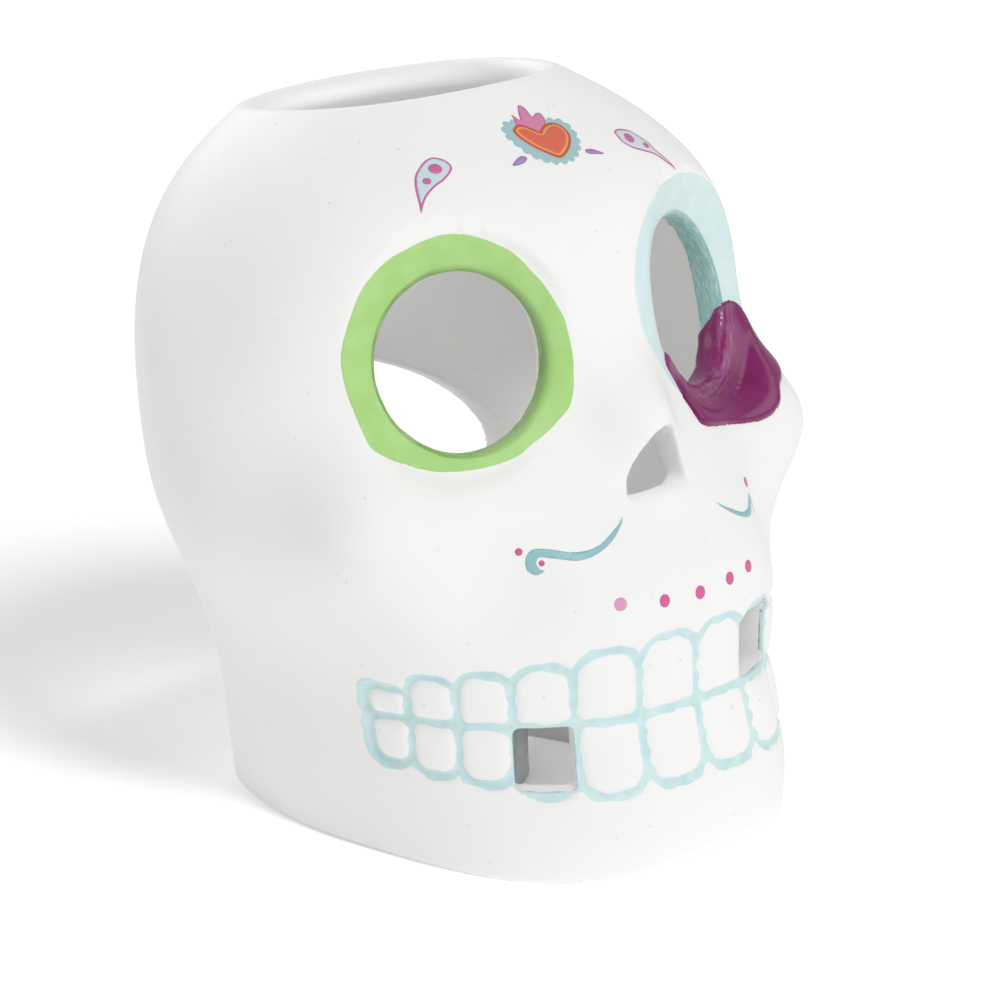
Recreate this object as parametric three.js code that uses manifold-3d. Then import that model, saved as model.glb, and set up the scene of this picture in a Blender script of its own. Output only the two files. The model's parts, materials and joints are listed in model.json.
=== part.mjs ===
// Hollow ceramic sugar skull lantern with a tea light, in millimetres, +Z up.
// The skull faces -Y and stands on its open foot at z = 0, centred on the foot's middle line.
import * as THREE from 'three';
import { mergeVertices } from 'three/addons/utils/BufferGeometryUtils.js';
import Module from 'manifold-3d';

const wasm = await Module();
wasm.setup();

// Driving sizes of the casting
const skullHeight = 140;
const halfWidth = 66;
const faceReach = 56;
const backReach = 68;
const wall = 6;
const rimTilt = 0.086;
const rimMiddle = 26;
const clearance = 0.3;
const film = 0.3;
const overrun = 2;

// Heights and sizes that keep their share of the skull's height
const heightShares = {
  eye: 0.7,
  eyeHole: 0.1214,
  rightSocket: 0.1614,
  leftSocket: 0.1671,
  noseFoot: 0.5,
  noseHeight: 0.0929,
  backHole: 0.4129,
  backHoleHalf: 0.1507,
  bite: 0.2186,
  heart: 0.9614,
  rightPaisley: 0.9429,
  leftPaisley: 0.9321,
  rightDrop: 0.94,
  leftDrop: 0.9314,
  rightScroll: 0.4514,
  leftScroll: 0.4386,
  lipDots: 0.3736,
  heartWidth: 0.1186,
  paisleyLength: 0.0886,
  dropLength: 0.0314,
  scrollReach: 0.145,
  dotRadius: 0.0093,
};

// Eyes: a round hole in a shallow dished socket, which faces a little more sideways than the hole
const eyeHoleRadius = skullHeight * heightShares.eyeHole;
const eyeSpacing = 60.1;
const eyeHeight = skullHeight * heightShares.eye;
const eyeInset = 23;
const eyeTurn = THREE.MathUtils.degToRad(18);
const eyeLean = THREE.MathUtils.degToRad(13.5);
const rightSocketRadius = skullHeight * heightShares.rightSocket;
const leftSocketRadius = skullHeight * heightShares.leftSocket;
const socketDepth = 2.3;
const socketRim = 1.5;
const socketForward = 2;
const socketAside = 1.6;
const socketAbove = 1.3;
const socketTurn = THREE.MathUtils.degToRad(22.4);
const socketLean = THREE.MathUtils.degToRad(10.6);

// Nose, back opening and teeth
const noseWidth = 16.4;
const noseHeight = skullHeight * heightShares.noseHeight;
const noseFoot = skullHeight * heightShares.noseFoot;
const backHoleHalfWidth = 42.3;
const backHoleHalfHeight = skullHeight * heightShares.backHoleHalf;
const backHoleHeight = skullHeight * heightShares.backHole;
const biteHeight = skullHeight * heightShares.bite;
const grooveWidth = 2.1;
const grooveDepth = 0.9;
const toothCorner = grooveWidth * 1.1;

// Tea light
const cupRadius = 19;
const cupHeight = 14;
const cupWall = 0.5;
const waxDepth = 11;
const wickRadius = 0.9;
const wickRise = 7;
const tabRadius = 6;
const tabThickness = 0.4;

// Fineness of the lofted surfaces
const around = 44;
const rowsPerStation = 2;
const frontCrowding = 0.32;
const toothSegments = 2;

// Stations from the foot to the rim, as shares of the driving sizes: height, half width, face,
// back and widest place, then how square the section is in front and behind (2 is an ellipse).
const stationShares = [
  [0, 0.59, -0.948, 1, 0.018, 3.2, 2.1],
  [0.1, 0.644, -1.002, 0.97, 0.056, 2.8, 2.1],
  [0.214, 0.683, -0.907, 0.955, 0.088, 2.4, 2.1],
  [0.314, 0.774, -0.934, 0.962, 0.106, 2.3, 2.1],
  [0.4, 0.889, -0.939, 0.972, 0.116, 2.2, 2],
  [0.486, 0.967, -0.789, 0.984, 0.149, 2, 2],
  [0.586, 0.998, -0.638, 0.99, 0.193, 1.9, 1.9],
  [0.7, 1, -0.591, 0.981, 0.226, 2.3, 1.9],
  [0.807, 0.924, -0.586, 0.956, 0.269, 2.6, 2],
  [0.893, 0.8, -0.414, 0.903, 0.316, 2.5, 2.1],
  [0.957, 0.662, -0.209, 0.816, 0.353, 2.3, 2.1],
  [1, 0.52, -0.0875, 0.719, 0.387, 2.1, 2.1],
];
const lastStation = stationShares.length - 1;
const stations = stationShares.map(([height, width, face, back, widest, front, rear]) => [
  height * skullHeight,
  width * halfWidth,
  face * faceReach,
  back * backReach,
  widest * backReach,
  front,
  rear,
]);

// Soft swellings and hollows on both sides: angle from the front and spread in degrees, height and
// rise as shares of the skull's height, swell as a share of its half width
const cheekbone = { angle: 59, heightShare: 0.5143, spread: 12.6, riseShare: 0.0936, swellShare: 0.147 };
const noseRidge = { angle: 0, heightShare: 0.6, spread: 10, riseShare: 0.0764, swellShare: 0.1303 };
const cheekHollow = { angle: 39, heightShare: 0.4121, spread: 11.9, riseShare: 0.0671, swellShare: -0.0742 };
const eyeHollow = { angle: 37, heightShare: 0.7, spread: 20, riseShare: 0.1371, swellShare: -0.0939 };
const features = [cheekbone, noseRidge, cheekHollow, eyeHollow];

// Smooth curve through the stations at a place t from 0 at the foot to lastStation at the rim
function stationAt(t) {
  const index = Math.min(Math.max(Math.floor(t), 0), lastStation - 1);
  const u = t - index;
  const weights = [
    (1 - u) ** 3,
    3 * u ** 3 - 6 * u ** 2 + 4,
    -3 * u ** 3 + 3 * u ** 2 + 3 * u + 1,
    u ** 3,
  ];
  const value = (k, column) => {
    if (k < 0) return 2 * stations[0][column] - stations[1][column];
    if (k > lastStation) return 2 * stations[lastStation][column] - stations[lastStation - 1][column];
    return stations[k][column];
  };
  return stations[0].map((_, column) =>
    weights.reduce((sum, weight, k) => sum + (weight * value(index - 1 + k, column)) / 6, 0));
}

function easeBetween(value, low, high) {
  return THREE.MathUtils.smoothstep(value, low, high);
}

// Point of the outer skin: angle from the front round the vertical, place t between the stations
function skinPoint(angle, t) {
  const [height, width, face, back, widest, front, rear] = stationAt(t);
  const sine = Math.sin(angle);
  const cosine = Math.cos(angle);
  const power = rear + (front - rear) * easeBetween(cosine, -0.35, 0.35);
  const reach = cosine > 0 ? widest - face : back - widest;
  let radius = (Math.abs(sine / width) ** power + Math.abs(cosine / reach) ** power) ** (-1 / power);
  for (const feature of features) {
    const sides = feature.angle === 0 ? [1] : [1, -1];
    for (const side of sides) {
      const offset = THREE.MathUtils.radToDeg(angle) - side * feature.angle;
      const turn = THREE.MathUtils.euclideanModulo(offset + 180, 360) - 180;
      const climb = (height / skullHeight - feature.heightShare) / feature.riseShare;
      radius += feature.swellShare * halfWidth * Math.exp(-((turn / feature.spread) ** 2) - climb ** 2);
    }
  }
  const y = widest - radius * cosine;
  const lean = rimTilt * (y - rimMiddle) * easeBetween(height, eyeHeight - wall, skullHeight);
  return new THREE.Vector3(radius * sine, y, height - lean);
}

function skinFrame(angle, t) {
  const step = 0.01;
  const t0 = Math.max(t - step, 0);
  const t1 = Math.min(t + step, lastStation);
  const across = skinPoint(angle + step, t).sub(skinPoint(angle - step, t)).normalize();
  const rise = skinPoint(angle, t1).sub(skinPoint(angle, t0)).normalize();
  const normal = new THREE.Vector3().crossVectors(across, rise).normalize();
  return { point: skinPoint(angle, t), normal, rise };
}

// Place t of the skin at an angle and a real height
function placeAtHeight(angle, height) {
  let low = 0;
  let high = lastStation;
  for (let i = 0; i < 40; i += 1) {
    const middle = (low + high) / 2;
    if (skinPoint(angle, middle).z < height) low = middle;
    else high = middle;
  }
  return (low + high) / 2;
}

function toSolid(geometry) {
  const bare = geometry.index ? geometry.clone() : geometry;
  bare.deleteAttribute('normal');
  bare.deleteAttribute('uv');
  const merged = mergeVertices(bare, 1e-5);
  const triVerts = Uint32Array.from(merged.index.array);
  const vertProperties = Float32Array.from(merged.attributes.position.array);
  return new wasm.Manifold(new wasm.Mesh({ numProp: 3, vertProperties, triVerts }));
}

// A revolved profile whose rings are then carried to their places by a function of angle and row
function loftRings(rows, place) {
  const profile = rows.map((row) => new THREE.Vector2(row.onAxis ? 0 : 1, row.level));
  const geometry = new THREE.LatheGeometry(profile, around);
  const position = geometry.attributes.position;
  for (let k = 0; k < position.count; k += 1) {
    const row = rows[k % rows.length];
    const turn = (Math.floor(k / rows.length) % around) * ((2 * Math.PI) / around);
    const angle = turn - frontCrowding * Math.sin(turn);
    const point = place(angle, row);
    position.setXYZ(k, point.x, point.y, point.z);
  }
  return toSolid(geometry);
}

function stationRows(count) {
  return Array.from({ length: count + 1 }, (_, i) => (lastStation * i) / count);
}

// The whole skull as one solid, its skin moved out by lift or in where lift is negative
function skullBody(lift) {
  const levels = stationRows(lastStation * rowsPerStation);
  const rows = [{ onAxis: true, level: -1, t: 0, reach: -overrun }];
  rows.push({ level: -0.5, t: 0, reach: -overrun });
  rows.push(...levels.map((t) => ({ level: t, t, reach: 0 })));
  rows.push({ level: lastStation + 0.5, t: lastStation, reach: overrun });
  rows.push({ onAxis: true, level: lastStation + 1, t: lastStation, reach: overrun });
  return loftRings(rows, (angle, row) => {
    const frame = skinFrame(angle, row.t);
    const point = frame.point.clone().addScaledVector(frame.normal, lift);
    if (row.t === 0) point.z = 0;
    point.z += row.reach;
    if (row.onAxis) {
      point.x = 0;
      point.y = stationAt(row.t)[4];
      point.z = row.t === 0 ? row.reach : skullHeight + row.reach;
    }
    return point;
  });
}

// The open casting: outer skin, rounded lip, inner skin and flat foot in one closed loop of rings
function openCasting() {
  const outer = stationRows(lastStation * rowsPerStation).map((t) => ({ t, depth: 0, lip: 0 }));
  const lipSteps = 5;
  const lip = Array.from({ length: lipSteps - 1 }, (_, i) => (Math.PI * (i + 1)) / lipSteps)
    .map((turn) => ({ t: lastStation, depth: (1 - Math.cos(turn)) / 2, lip: Math.sin(turn) / 2 }));
  const inner = stationRows(lastStation).reverse().map((t) => ({ t, depth: 1, lip: 0 }));
  const rows = [...outer, ...lip, ...inner, outer[0]];
  const profileRows = rows.map((row, i) => ({ ...row, level: i }));
  return loftRings(profileRows, (angle, row) => {
    const frame = skinFrame(angle, row.t);
    const point = frame.point.clone();
    if (row.t === 0) {
      frame.normal.setZ(0).normalize();
    }
    point.addScaledVector(frame.normal, -row.depth * wall);
    point.addScaledVector(frame.rise, row.lip * wall);
    return point;
  });
}

// Carries a geometry built along +Z so that +Z runs along outward and +Y stays upwards
function carry(geometry, origin, outward) {
  const forward = outward.clone().normalize();
  const right = new THREE.Vector3(0, 0, 1).cross(forward).normalize();
  const up = new THREE.Vector3().crossVectors(forward, right);
  const matrix = new THREE.Matrix4().makeBasis(right, up, forward).setPosition(origin);
  return geometry.applyMatrix4(matrix);
}

function prism(shape, depth, segments = 8) {
  const geometry = new THREE.ExtrudeGeometry(shape, { depth, bevelEnabled: false, curveSegments: segments });
  return geometry.translate(0, 0, -depth / 2);
}

// Right side of the skull is -X, left side is +X
const right = -1;
const left = 1;

function outwardOf(side, turn, lean) {
  const flat = Math.cos(lean);
  return new THREE.Vector3(side * Math.sin(turn) * flat, -Math.cos(turn) * flat, Math.sin(lean));
}

function eyeOrigin(side) {
  return new THREE.Vector3((side * eyeSpacing) / 2, -eyeInset, eyeHeight);
}

// The socket's own plane: its middle lies forward of the hole's, further out and a little higher
function socketPlane(side) {
  const outward = outwardOf(side, socketTurn, socketLean);
  const across = new THREE.Vector3(0, 0, 1).cross(outward).normalize();
  const above = new THREE.Vector3().crossVectors(outward, across);
  const origin = eyeOrigin(side)
    .addScaledVector(outward, socketForward)
    .addScaledVector(across, side * socketAside)
    .addScaledVector(above, socketAbove);
  return { origin, outward };
}

const socketRadius = (side) => (side === right ? rightSocketRadius : leftSocketRadius);

// Tool for one eye: the hole and the dished socket with its flared rim, drawn in by lift for the coats
function eyeTool(side, lift) {
  const radius = socketRadius(side);
  const slope = socketDepth / (radius - eyeHoleRadius);
  const dishLift = lift * Math.hypot(1, slope);
  const rimLift = lift * Math.SQRT2;
  const bend = (rimLift - dishLift) / (slope - 1);
  const dish = [
    new THREE.Vector2(0, dishLift - radius * slope),
    new THREE.Vector2(radius + bend, dishLift + bend * slope),
    new THREE.Vector2(radius + socketRim - lift, socketRim - lift + rimLift),
    new THREE.Vector2(radius + socketRim - lift, radius),
    new THREE.Vector2(0, radius),
  ];
  const dishGeometry = new THREE.LatheGeometry(dish, 32).rotateX(Math.PI / 2);
  const { origin, outward } = socketPlane(side);
  const hole = new THREE.CylinderGeometry(eyeHoleRadius - lift, eyeHoleRadius - lift, radius * 2, 32);
  const axis = outwardOf(side, eyeTurn, eyeLean);
  const holeSolid = toSolid(carry(hole.rotateX(Math.PI / 2), eyeOrigin(side), axis));
  return holeSolid.add(toSolid(carry(dishGeometry, origin, outward)));
}

function noseTool() {
  const half = noseWidth / 2;
  const shape = new THREE.Shape();
  shape.moveTo(-half, 0);
  shape.lineTo(half, 0);
  shape.bezierCurveTo(half, noseHeight * 0.45, half * 0.55, noseHeight, half * 0.06, noseHeight);
  shape.bezierCurveTo(-half * 0.3, noseHeight, -half * 0.8, noseHeight * 0.45, -half, 0);
  const origin = new THREE.Vector3(0, -faceReach * 0.7, noseFoot);
  return toSolid(carry(prism(shape, faceReach, 10), origin, new THREE.Vector3(0, -1, 0)));
}

function backTool() {
  const geometry = new THREE.CylinderGeometry(backHoleHalfWidth, backHoleHalfWidth, backReach, 52);
  geometry.scale(1, 1, backHoleHalfHeight / backHoleHalfWidth);
  return toSolid(geometry.translate(0, backReach, backHoleHeight));
}

// Teeth, six a side from the middle out: outer edge in degrees, and how far the gum lines lie above
// and below the bite as shares of the skull's height
const teethShares = [
  { edge: 14, upper: 0.1014, lower: 0.0971 },
  { edge: 27.3, upper: 0.0971, lower: 0.0986 },
  { edge: 39, upper: 0.0843, lower: 0.0929 },
  { edge: 50, upper: 0.0757, lower: 0.08 },
  { edge: 61, upper: 0.0671, lower: 0.0757 },
  { edge: 72, upper: 0.0457, lower: 0.0671 },
];
const teeth = teethShares.map(({ edge, upper, lower }) => ({
  edge,
  upper: upper * skullHeight,
  lower: lower * skullHeight,
}));
const mouthPlace = lastStation * 0.19;

function roundedBlock(width, height, radius) {
  const x = width / 2;
  const r = Math.min(radius, x * 0.9, height * 0.45);
  const shape = new THREE.Shape();
  shape.moveTo(-x + r, 0);
  shape.lineTo(x - r, 0);
  shape.absarc(x - r, r, r, -Math.PI / 2, 0);
  shape.lineTo(x, height - r);
  shape.absarc(x - r, height - r, r, 0, Math.PI / 2);
  shape.lineTo(-x + r, height);
  shape.absarc(-x + r, height - r, r, Math.PI / 2, Math.PI);
  shape.lineTo(-x, r);
  shape.absarc(-x + r, r, r, Math.PI, (3 * Math.PI) / 2);
  return shape;
}

// One tooth's block from the mouth's axis outwards, grown by margin on every side
function toothBlock(side, index, isUpper, margin) {
  const tooth = teeth[index];
  const inner = index === 0 ? 0 : teeth[index - 1].edge;
  const middle = THREE.MathUtils.degToRad(side * ((inner + tooth.edge) / 2));
  const span = THREE.MathUtils.degToRad(tooth.edge - inner);
  const skin = skinPoint(middle, mouthPlace);
  const axis = new THREE.Vector3(0, stationAt(mouthPlace)[4], 0);
  const reach = Math.hypot(skin.x, skin.y - axis.y);
  const width = 2 * reach * Math.tan(span / 2) + 2 * margin;
  const height = (isUpper ? tooth.upper : tooth.lower) + 2 * margin;
  const outward = new THREE.Vector3(skin.x, skin.y - axis.y, 0).normalize();
  const shape = roundedBlock(width, height, toothCorner + margin);
  const foot = isUpper ? biteHeight - margin : biteHeight - tooth.lower - margin;
  const origin = new THREE.Vector3(skin.x, skin.y, foot);
  return toSolid(carry(prism(shape, wall * 4, toothSegments), origin, outward));
}

function allTeeth(margin) {
  const blocks = [];
  for (const side of [right, left]) {
    for (let index = 0; index < teeth.length; index += 1) {
      for (const isUpper of [true, false]) blocks.push(toothBlock(side, index, isUpper, margin));
    }
  }
  return blocks.reduce((all, block) => all.add(block));
}

// The two teeth left open: third lower tooth on the right and second upper tooth on the left
const openTeeth = [
  { side: right, index: 2, isUpper: false },
  { side: left, index: 1, isUpper: true },
];

function openToothTools(margin) {
  return openTeeth
    .map(({ side, index, isUpper }) => toothBlock(side, index, isUpper, margin))
    .reduce((all, block) => all.add(block));
}

// The open teeth are cut a little way into the groove round them, and the paint keeps back from there
const windowEdge = clearance - grooveWidth / 2;
const openings = [eyeTool(right, 0), eyeTool(left, 0), noseTool(), backTool(), openToothTools(windowEdge)];
const toothLines = allTeeth(grooveWidth / 2).subtract(allTeeth(-grooveWidth / 2));
const grooves = toothLines.subtract(skullBody(-grooveDepth));
const casting = [...openings, grooves].reduce((body, tool) => body.subtract(tool), openCasting());

// Paint laid in the grooves, clear of their floor and sides
function grooveSheet() {
  const lines = allTeeth(grooveWidth / 2 - clearance).subtract(allTeeth(clearance - grooveWidth / 2));
  const top = skullBody(film + clearance - grooveDepth);
  const bottom = skullBody(clearance - grooveDepth);
  const open = openToothTools(windowEdge + clearance);
  return lines.intersect(top).subtract(bottom).subtract(open);
}

// A coat on the skin and in the eye socket, between two heights above the clay
function socketCoat(side, low, high) {
  const surface = (lift) => skullBody(lift).subtract(eyeTool(side, lift));
  return surface(high).subtract(surface(low)).subtract(skullBody(-wall + clearance));
}

// Outline in the eye's plane seen from in front, run round anticlockwise and grown by margin
function eyeRegion(side, points, margin) {
  const line = new THREE.SplineCurve([...points, points[0]]).getPoints(points.length * 3).slice(0, -1);
  const grown = line.map((point, i) => {
    const along = line[(i + 1) % line.length].clone().sub(line.at(i - 1)).normalize();
    return new THREE.Vector2(point.x + along.y * margin, point.y - along.x * margin);
  });
  const solid = prism(new THREE.Shape(grown), socketRadius(side) * 2);
  const { origin, outward } = socketPlane(side);
  return toSolid(carry(solid, origin, outward));
}

// The ring of paint reaches just past the socket's rim, with soft corners: degrees from the
// middle outwards and over the top, and how far they stand out as shares of the socket's radius
const ringMargin = 0.6;
const ringCornerShares = [
  { turn: -36, out: 0.09 },
  { turn: -149, out: 0.077 },
  { turn: 140, out: -0.051 },
];
const cornerSpread = 24;
function ringOutline(side) {
  return Array.from({ length: 20 }, (_, i) => {
    const angle = i * 18;
    const turn = side === right ? 180 - angle : angle;
    const radius = ringCornerShares.reduce((sum, corner) => {
      const away = THREE.MathUtils.euclideanModulo(turn - corner.turn + 180, 360) - 180;
      return sum + socketRadius(side) * corner.out * Math.exp(-((away / cornerSpread) ** 2));
    }, socketRadius(side) + ringMargin);
    const radians = THREE.MathUtils.degToRad(angle);
    return new THREE.Vector2(radius * Math.cos(radians), radius * Math.sin(radians));
  });
}

// The glaze below the left eye, as shares of the socket's radius
const glazeShares = [
  [-0.78, -0.36], [-0.68, -0.58], [-0.57, -0.9], [-0.14, -1.04], [0.25, -1.1], [0.5, -1.11],
  [0.66, -1.04], [0.86, -0.94], [1.03, -0.84], [1, -0.66], [0.94, -0.42], [0.86, -0.28],
  [0.76, -0.22], [0.6, -0.34], [0.4, -0.4], [0, -0.45], [-0.5, -0.4],
];
const glazeOutline = glazeShares.map(([x, y]) => new THREE.Vector2(x, y).multiplyScalar(leftSocketRadius));
const glazeThickness = 1;

const greenRing = socketCoat(right, clearance, clearance + film)
  .intersect(eyeRegion(right, ringOutline(right), 0));
const aquaRing = socketCoat(left, clearance, clearance + film)
  .intersect(eyeRegion(left, ringOutline(left), 0))
  .subtract(eyeRegion(left, glazeOutline, clearance * 2));
const plumGlaze = socketCoat(left, clearance, clearance + glazeThickness)
  .intersect(eyeRegion(left, glazeOutline, 0));

// Transfers: flat outlines wrapped on the skin as a thin layer
const transferLayer = skullBody(clearance + film).subtract(skullBody(clearance));

function transfer(shape, angleDegrees, heightShare, spinDegrees = 0) {
  const angle = THREE.MathUtils.degToRad(angleDegrees);
  const { point, normal } = skinFrame(angle, placeAtHeight(angle, skullHeight * heightShare));
  const geometry = prism(shape, wall * 2, 6).rotateZ(THREE.MathUtils.degToRad(spinDegrees));
  return transferLayer.intersect(toSolid(carry(geometry, point, normal)));
}

function disc(radius, x = 0, y = 0) {
  return new THREE.Shape().absarc(x, y, radius, 0, 2 * Math.PI);
}

// Flaming heart: a scalloped heart for the ground with the flame standing in its notch
const heartWidth = skullHeight * heightShares.heartWidth;
const heartShares = [
  [0, 0.24], [0.12, 0.33], [0.26, 0.36], [0.41, 0.29], [0.49, 0.13], [0.47, -0.04], [0.37, -0.19],
  [0.24, -0.31], [0.12, -0.4], [0, -0.45], [-0.12, -0.4], [-0.24, -0.31], [-0.37, -0.19],
  [-0.47, -0.04], [-0.49, 0.13], [-0.41, 0.29], [-0.26, 0.36], [-0.12, 0.33],
];
const scallopShare = 0.033;
const flameShares = [
  [-0.14, 0.2], [-0.23, 0.36], [-0.13, 0.33], [-0.06, 0.53], [0.03, 0.36], [0.12, 0.42], [0.14, 0.2],
];
function heartShape() {
  const points = [];
  const corners = heartShares.map(([x, y]) => new THREE.Vector2(x, y).multiplyScalar(heartWidth));
  corners.forEach((corner, i) => {
    const next = corners[(i + 1) % corners.length];
    const side = next.clone().sub(corner);
    const outward = new THREE.Vector2(side.y, -side.x).normalize().multiplyScalar(-scallopShare * heartWidth);
    points.push(corner, corner.clone().addScaledVector(side, 0.3).add(outward));
    points.push(corner.clone().addScaledVector(side, 0.7).add(outward));
  });
  return new THREE.Shape(points);
}

function flameShape() {
  return new THREE.Shape(flameShares.map(([x, y]) => new THREE.Vector2(x, y).multiplyScalar(heartWidth)));
}

function smoothShape(shares, size, side, perPoint = 2) {
  const points = shares.map(([x, y]) => new THREE.Vector2(side * x * size, y * size));
  const curve = new THREE.SplineCurve(points);
  return new THREE.Shape(curve.getPoints(shares.length * perPoint));
}

// Paisley, drawn for the left side: a round head whose tail runs down and away from the heart
const paisleyLength = skullHeight * heightShares.paisleyLength;
const paisleyShares = [
  [0.38, -0.74], [0.2, -0.5], [0, -0.3], [-0.22, -0.12], [-0.31, 0.02], [-0.28, 0.14], [-0.14, 0.23],
  [0.04, 0.22], [0.2, 0.11], [0.31, -0.06], [0.35, -0.26], [0.36, -0.5], [0.38, -0.74],
];

const dropLength = skullHeight * heightShares.dropLength;
const dropShares = [
  [0, -0.6], [0.1, -0.3], [0.19, 0], [0.19, 0.22], [0.1, 0.36], [-0.1, 0.36], [-0.19, 0.22], [-0.19, 0],
  [-0.1, -0.3], [0, -0.6],
];

// Scroll beside the nose, drawn for the left side: it swings out and curls under at its far end
const scrollReach = skullHeight * heightShares.scrollReach;
const scrollShares = [
  [-0.52, 0.29], [-0.48, 0.19], [-0.36, 0.08], [-0.2, -0.03], [-0.08, -0.08], [0.06, -0.09], [0.17, -0.05],
  [0.28, -0.015], [0.35, -0.01], [0.385, -0.05], [0.37, -0.1], [0.325, -0.13], [0.37, -0.155],
  [0.44, -0.14], [0.48, -0.085], [0.485, -0.01], [0.46, 0.045], [0.41, 0.08], [0.34, 0.075], [0.23, 0.05],
  [0.1, 0.01], [-0.02, -0.01], [-0.13, 0.005], [-0.24, 0.045], [-0.36, 0.13], [-0.47, 0.225], [-0.52, 0.29],
];

// Round dots: five in a row over the teeth, one inside each scroll's curl and one beside it
const dotRadius = skullHeight * heightShares.dotRadius;
const lipDotAngles = [-17.4, -7.9, 0.6, 8.9, 16.6];
const curlDotShare = 0.5;
const cheekDotShare = 0.6;
const curlPlaceShares = [0.318, -0.068];
const rightCheekPlaceShares = [0.558, 0.04];
const leftCheekPlaceShares = [0.286, 0.165];
function dotByScroll(side, radiusShare, [x, y]) {
  return disc(dotRadius * radiusShare, side * x * scrollReach, y * scrollReach);
}

// Colours read from the object
const finish = (color, roughness, metalness = 0) =>
  new THREE.MeshStandardMaterial({ color, roughness, metalness });
const clay = finish('#f4f3f1', 0.75);
const green = finish('#9fd06f', 0.6);
const aqua = finish('#cfe9e6', 0.6);
const plum = finish('#87256a', 0.15);
const tealInk = finish('#9ecbd0', 0.5);
const coralInk = finish('#de7062', 0.5);
const pinkInk = finish('#de79ae', 0.5);
const purpleInk = finish('#a98ac9', 0.5);
const aluminium = finish('#c9cbcd', 0.35, 1);
const waxWhite = finish('#f3efe6', 0.5);
const cotton = finish('#e9e4d8', 0.9);

const lantern = new THREE.Group();

function addPiece(name, solid, material, place = null) {
  const made = solid.getMesh();
  const geometry = new THREE.BufferGeometry();
  geometry.setAttribute('position', new THREE.BufferAttribute(Float32Array.from(made.vertProperties), 3));
  geometry.setIndex(Array.from(made.triVerts));
  geometry.computeVertexNormals();
  const mesh = new THREE.Mesh(geometry, material);
  mesh.name = name;
  if (place) mesh.position.copy(place);
  lantern.add(mesh);
}

addPiece('skull_shell', casting, clay);
addPiece('green_socket_paint', greenRing, green);
addPiece('aqua_socket_paint', aquaRing, aqua);
addPiece('plum_socket_glaze', plumGlaze, plum);
addPiece('tooth_line_paint', grooveSheet(), aqua);
const heartLayer = transfer(heartShape(), 1, heightShares.heart);
const flameLayer = transfer(flameShape(), 1, heightShares.heart);
addPiece('heart_transfer', heartLayer.add(flameLayer), coralInk);
const paisley = (side) => smoothShape(paisleyShares, paisleyLength, side);
addPiece('paisley_transfer_right', transfer(paisley(right), -36.6, heightShares.rightPaisley), pinkInk);
addPiece('paisley_transfer_left', transfer(paisley(left), 30.9, heightShares.leftPaisley), pinkInk);
const drop = (side) => smoothShape(dropShares, dropLength, side);
addPiece('drop_transfer_right', transfer(drop(right), -12.2, heightShares.rightDrop, -66), purpleInk);
addPiece('drop_transfer_left', transfer(drop(left), 12.9, heightShares.leftDrop, 66), purpleInk);
const scroll = (side) => smoothShape(scrollShares, scrollReach, side);
addPiece('scroll_transfer_right', transfer(scroll(right), -23.1, heightShares.rightScroll), tealInk);
addPiece('scroll_transfer_left', transfer(scroll(left), 25.2, heightShares.leftScroll), tealInk);
const rightDots = {
  curl_dot_right: dotByScroll(right, curlDotShare, curlPlaceShares),
  cheek_dot_right: dotByScroll(right, cheekDotShare, rightCheekPlaceShares),
};
const leftDots = {
  curl_dot_left: dotByScroll(left, curlDotShare, curlPlaceShares),
  cheek_dot_left: dotByScroll(left, cheekDotShare, leftCheekPlaceShares),
};
Object.entries(rightDots).forEach(([name, dot]) => {
  addPiece(name, transfer(dot, -23.1, heightShares.rightScroll), pinkInk);
});
Object.entries(leftDots).forEach(([name, dot]) => {
  addPiece(name, transfer(dot, 25.2, heightShares.leftScroll), pinkInk);
});
lipDotAngles.forEach((angle, i) => {
  addPiece(`lip_dot_${i + 1}`, transfer(disc(dotRadius), angle, heightShares.lipDots), pinkInk);
});

// Tea light standing on the same surface under the middle of the top opening
const [, , rimFront, rimBack] = stations[lastStation];
const candlePlace = new THREE.Vector3(0, (rimFront + rimBack) / 2, 0);

function revolved(points, segments) {
  const profile = points.map(([x, y]) => new THREE.Vector2(x, y));
  return toSolid(new THREE.LatheGeometry(profile, segments).rotateX(Math.PI / 2));
}

const cup = revolved([
  [0, 0], [cupRadius - cupWall, 0], [cupRadius, cupWall], [cupRadius, cupHeight],
  [cupRadius - cupWall, cupHeight], [cupRadius - cupWall, cupWall], [0, cupWall],
], 32);
const tabFoot = cupWall + clearance;
const tabTop = tabFoot + tabThickness;
const collarHeight = 2.4;
const wickFoot = tabTop + clearance;
const waxRadius = cupRadius - cupWall - clearance;
const waxFoot = cupWall + clearance;
const waxTop = cupWall + waxDepth;
const collarBore = wickRadius + clearance;
const collarRadius = collarBore + tabThickness;
const tab = revolved([
  [0, tabFoot], [tabRadius, tabFoot], [tabRadius, tabTop], [collarRadius, tabTop],
  [collarRadius, tabTop + collarHeight], [collarBore, tabTop + collarHeight],
  [collarBore, tabTop], [0, tabTop],
], 24);
const wax = revolved([
  [tabRadius + clearance, waxFoot], [waxRadius, waxFoot], [waxRadius, waxTop],
  [collarBore, waxTop - clearance], [collarBore, tabTop + collarHeight + clearance],
  [collarRadius + clearance, tabTop + collarHeight + clearance],
  [collarRadius + clearance, tabTop + clearance],
  [tabRadius + clearance, tabTop + clearance], [tabRadius + clearance, waxFoot],
], 32);
const wickLength = waxTop + wickRise - wickFoot;
const wick = revolved([
  [0, wickFoot], [wickRadius, wickFoot], [wickRadius, wickFoot + wickLength], [0, wickFoot + wickLength],
], 12);

addPiece('tealight_cup', cup, aluminium, candlePlace);
addPiece('tealight_wax', wax, waxWhite, candlePlace);
addPiece('wick_tab', tab, aluminium, candlePlace);
addPiece('tealight_wick', wick, cotton, candlePlace);

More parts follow.
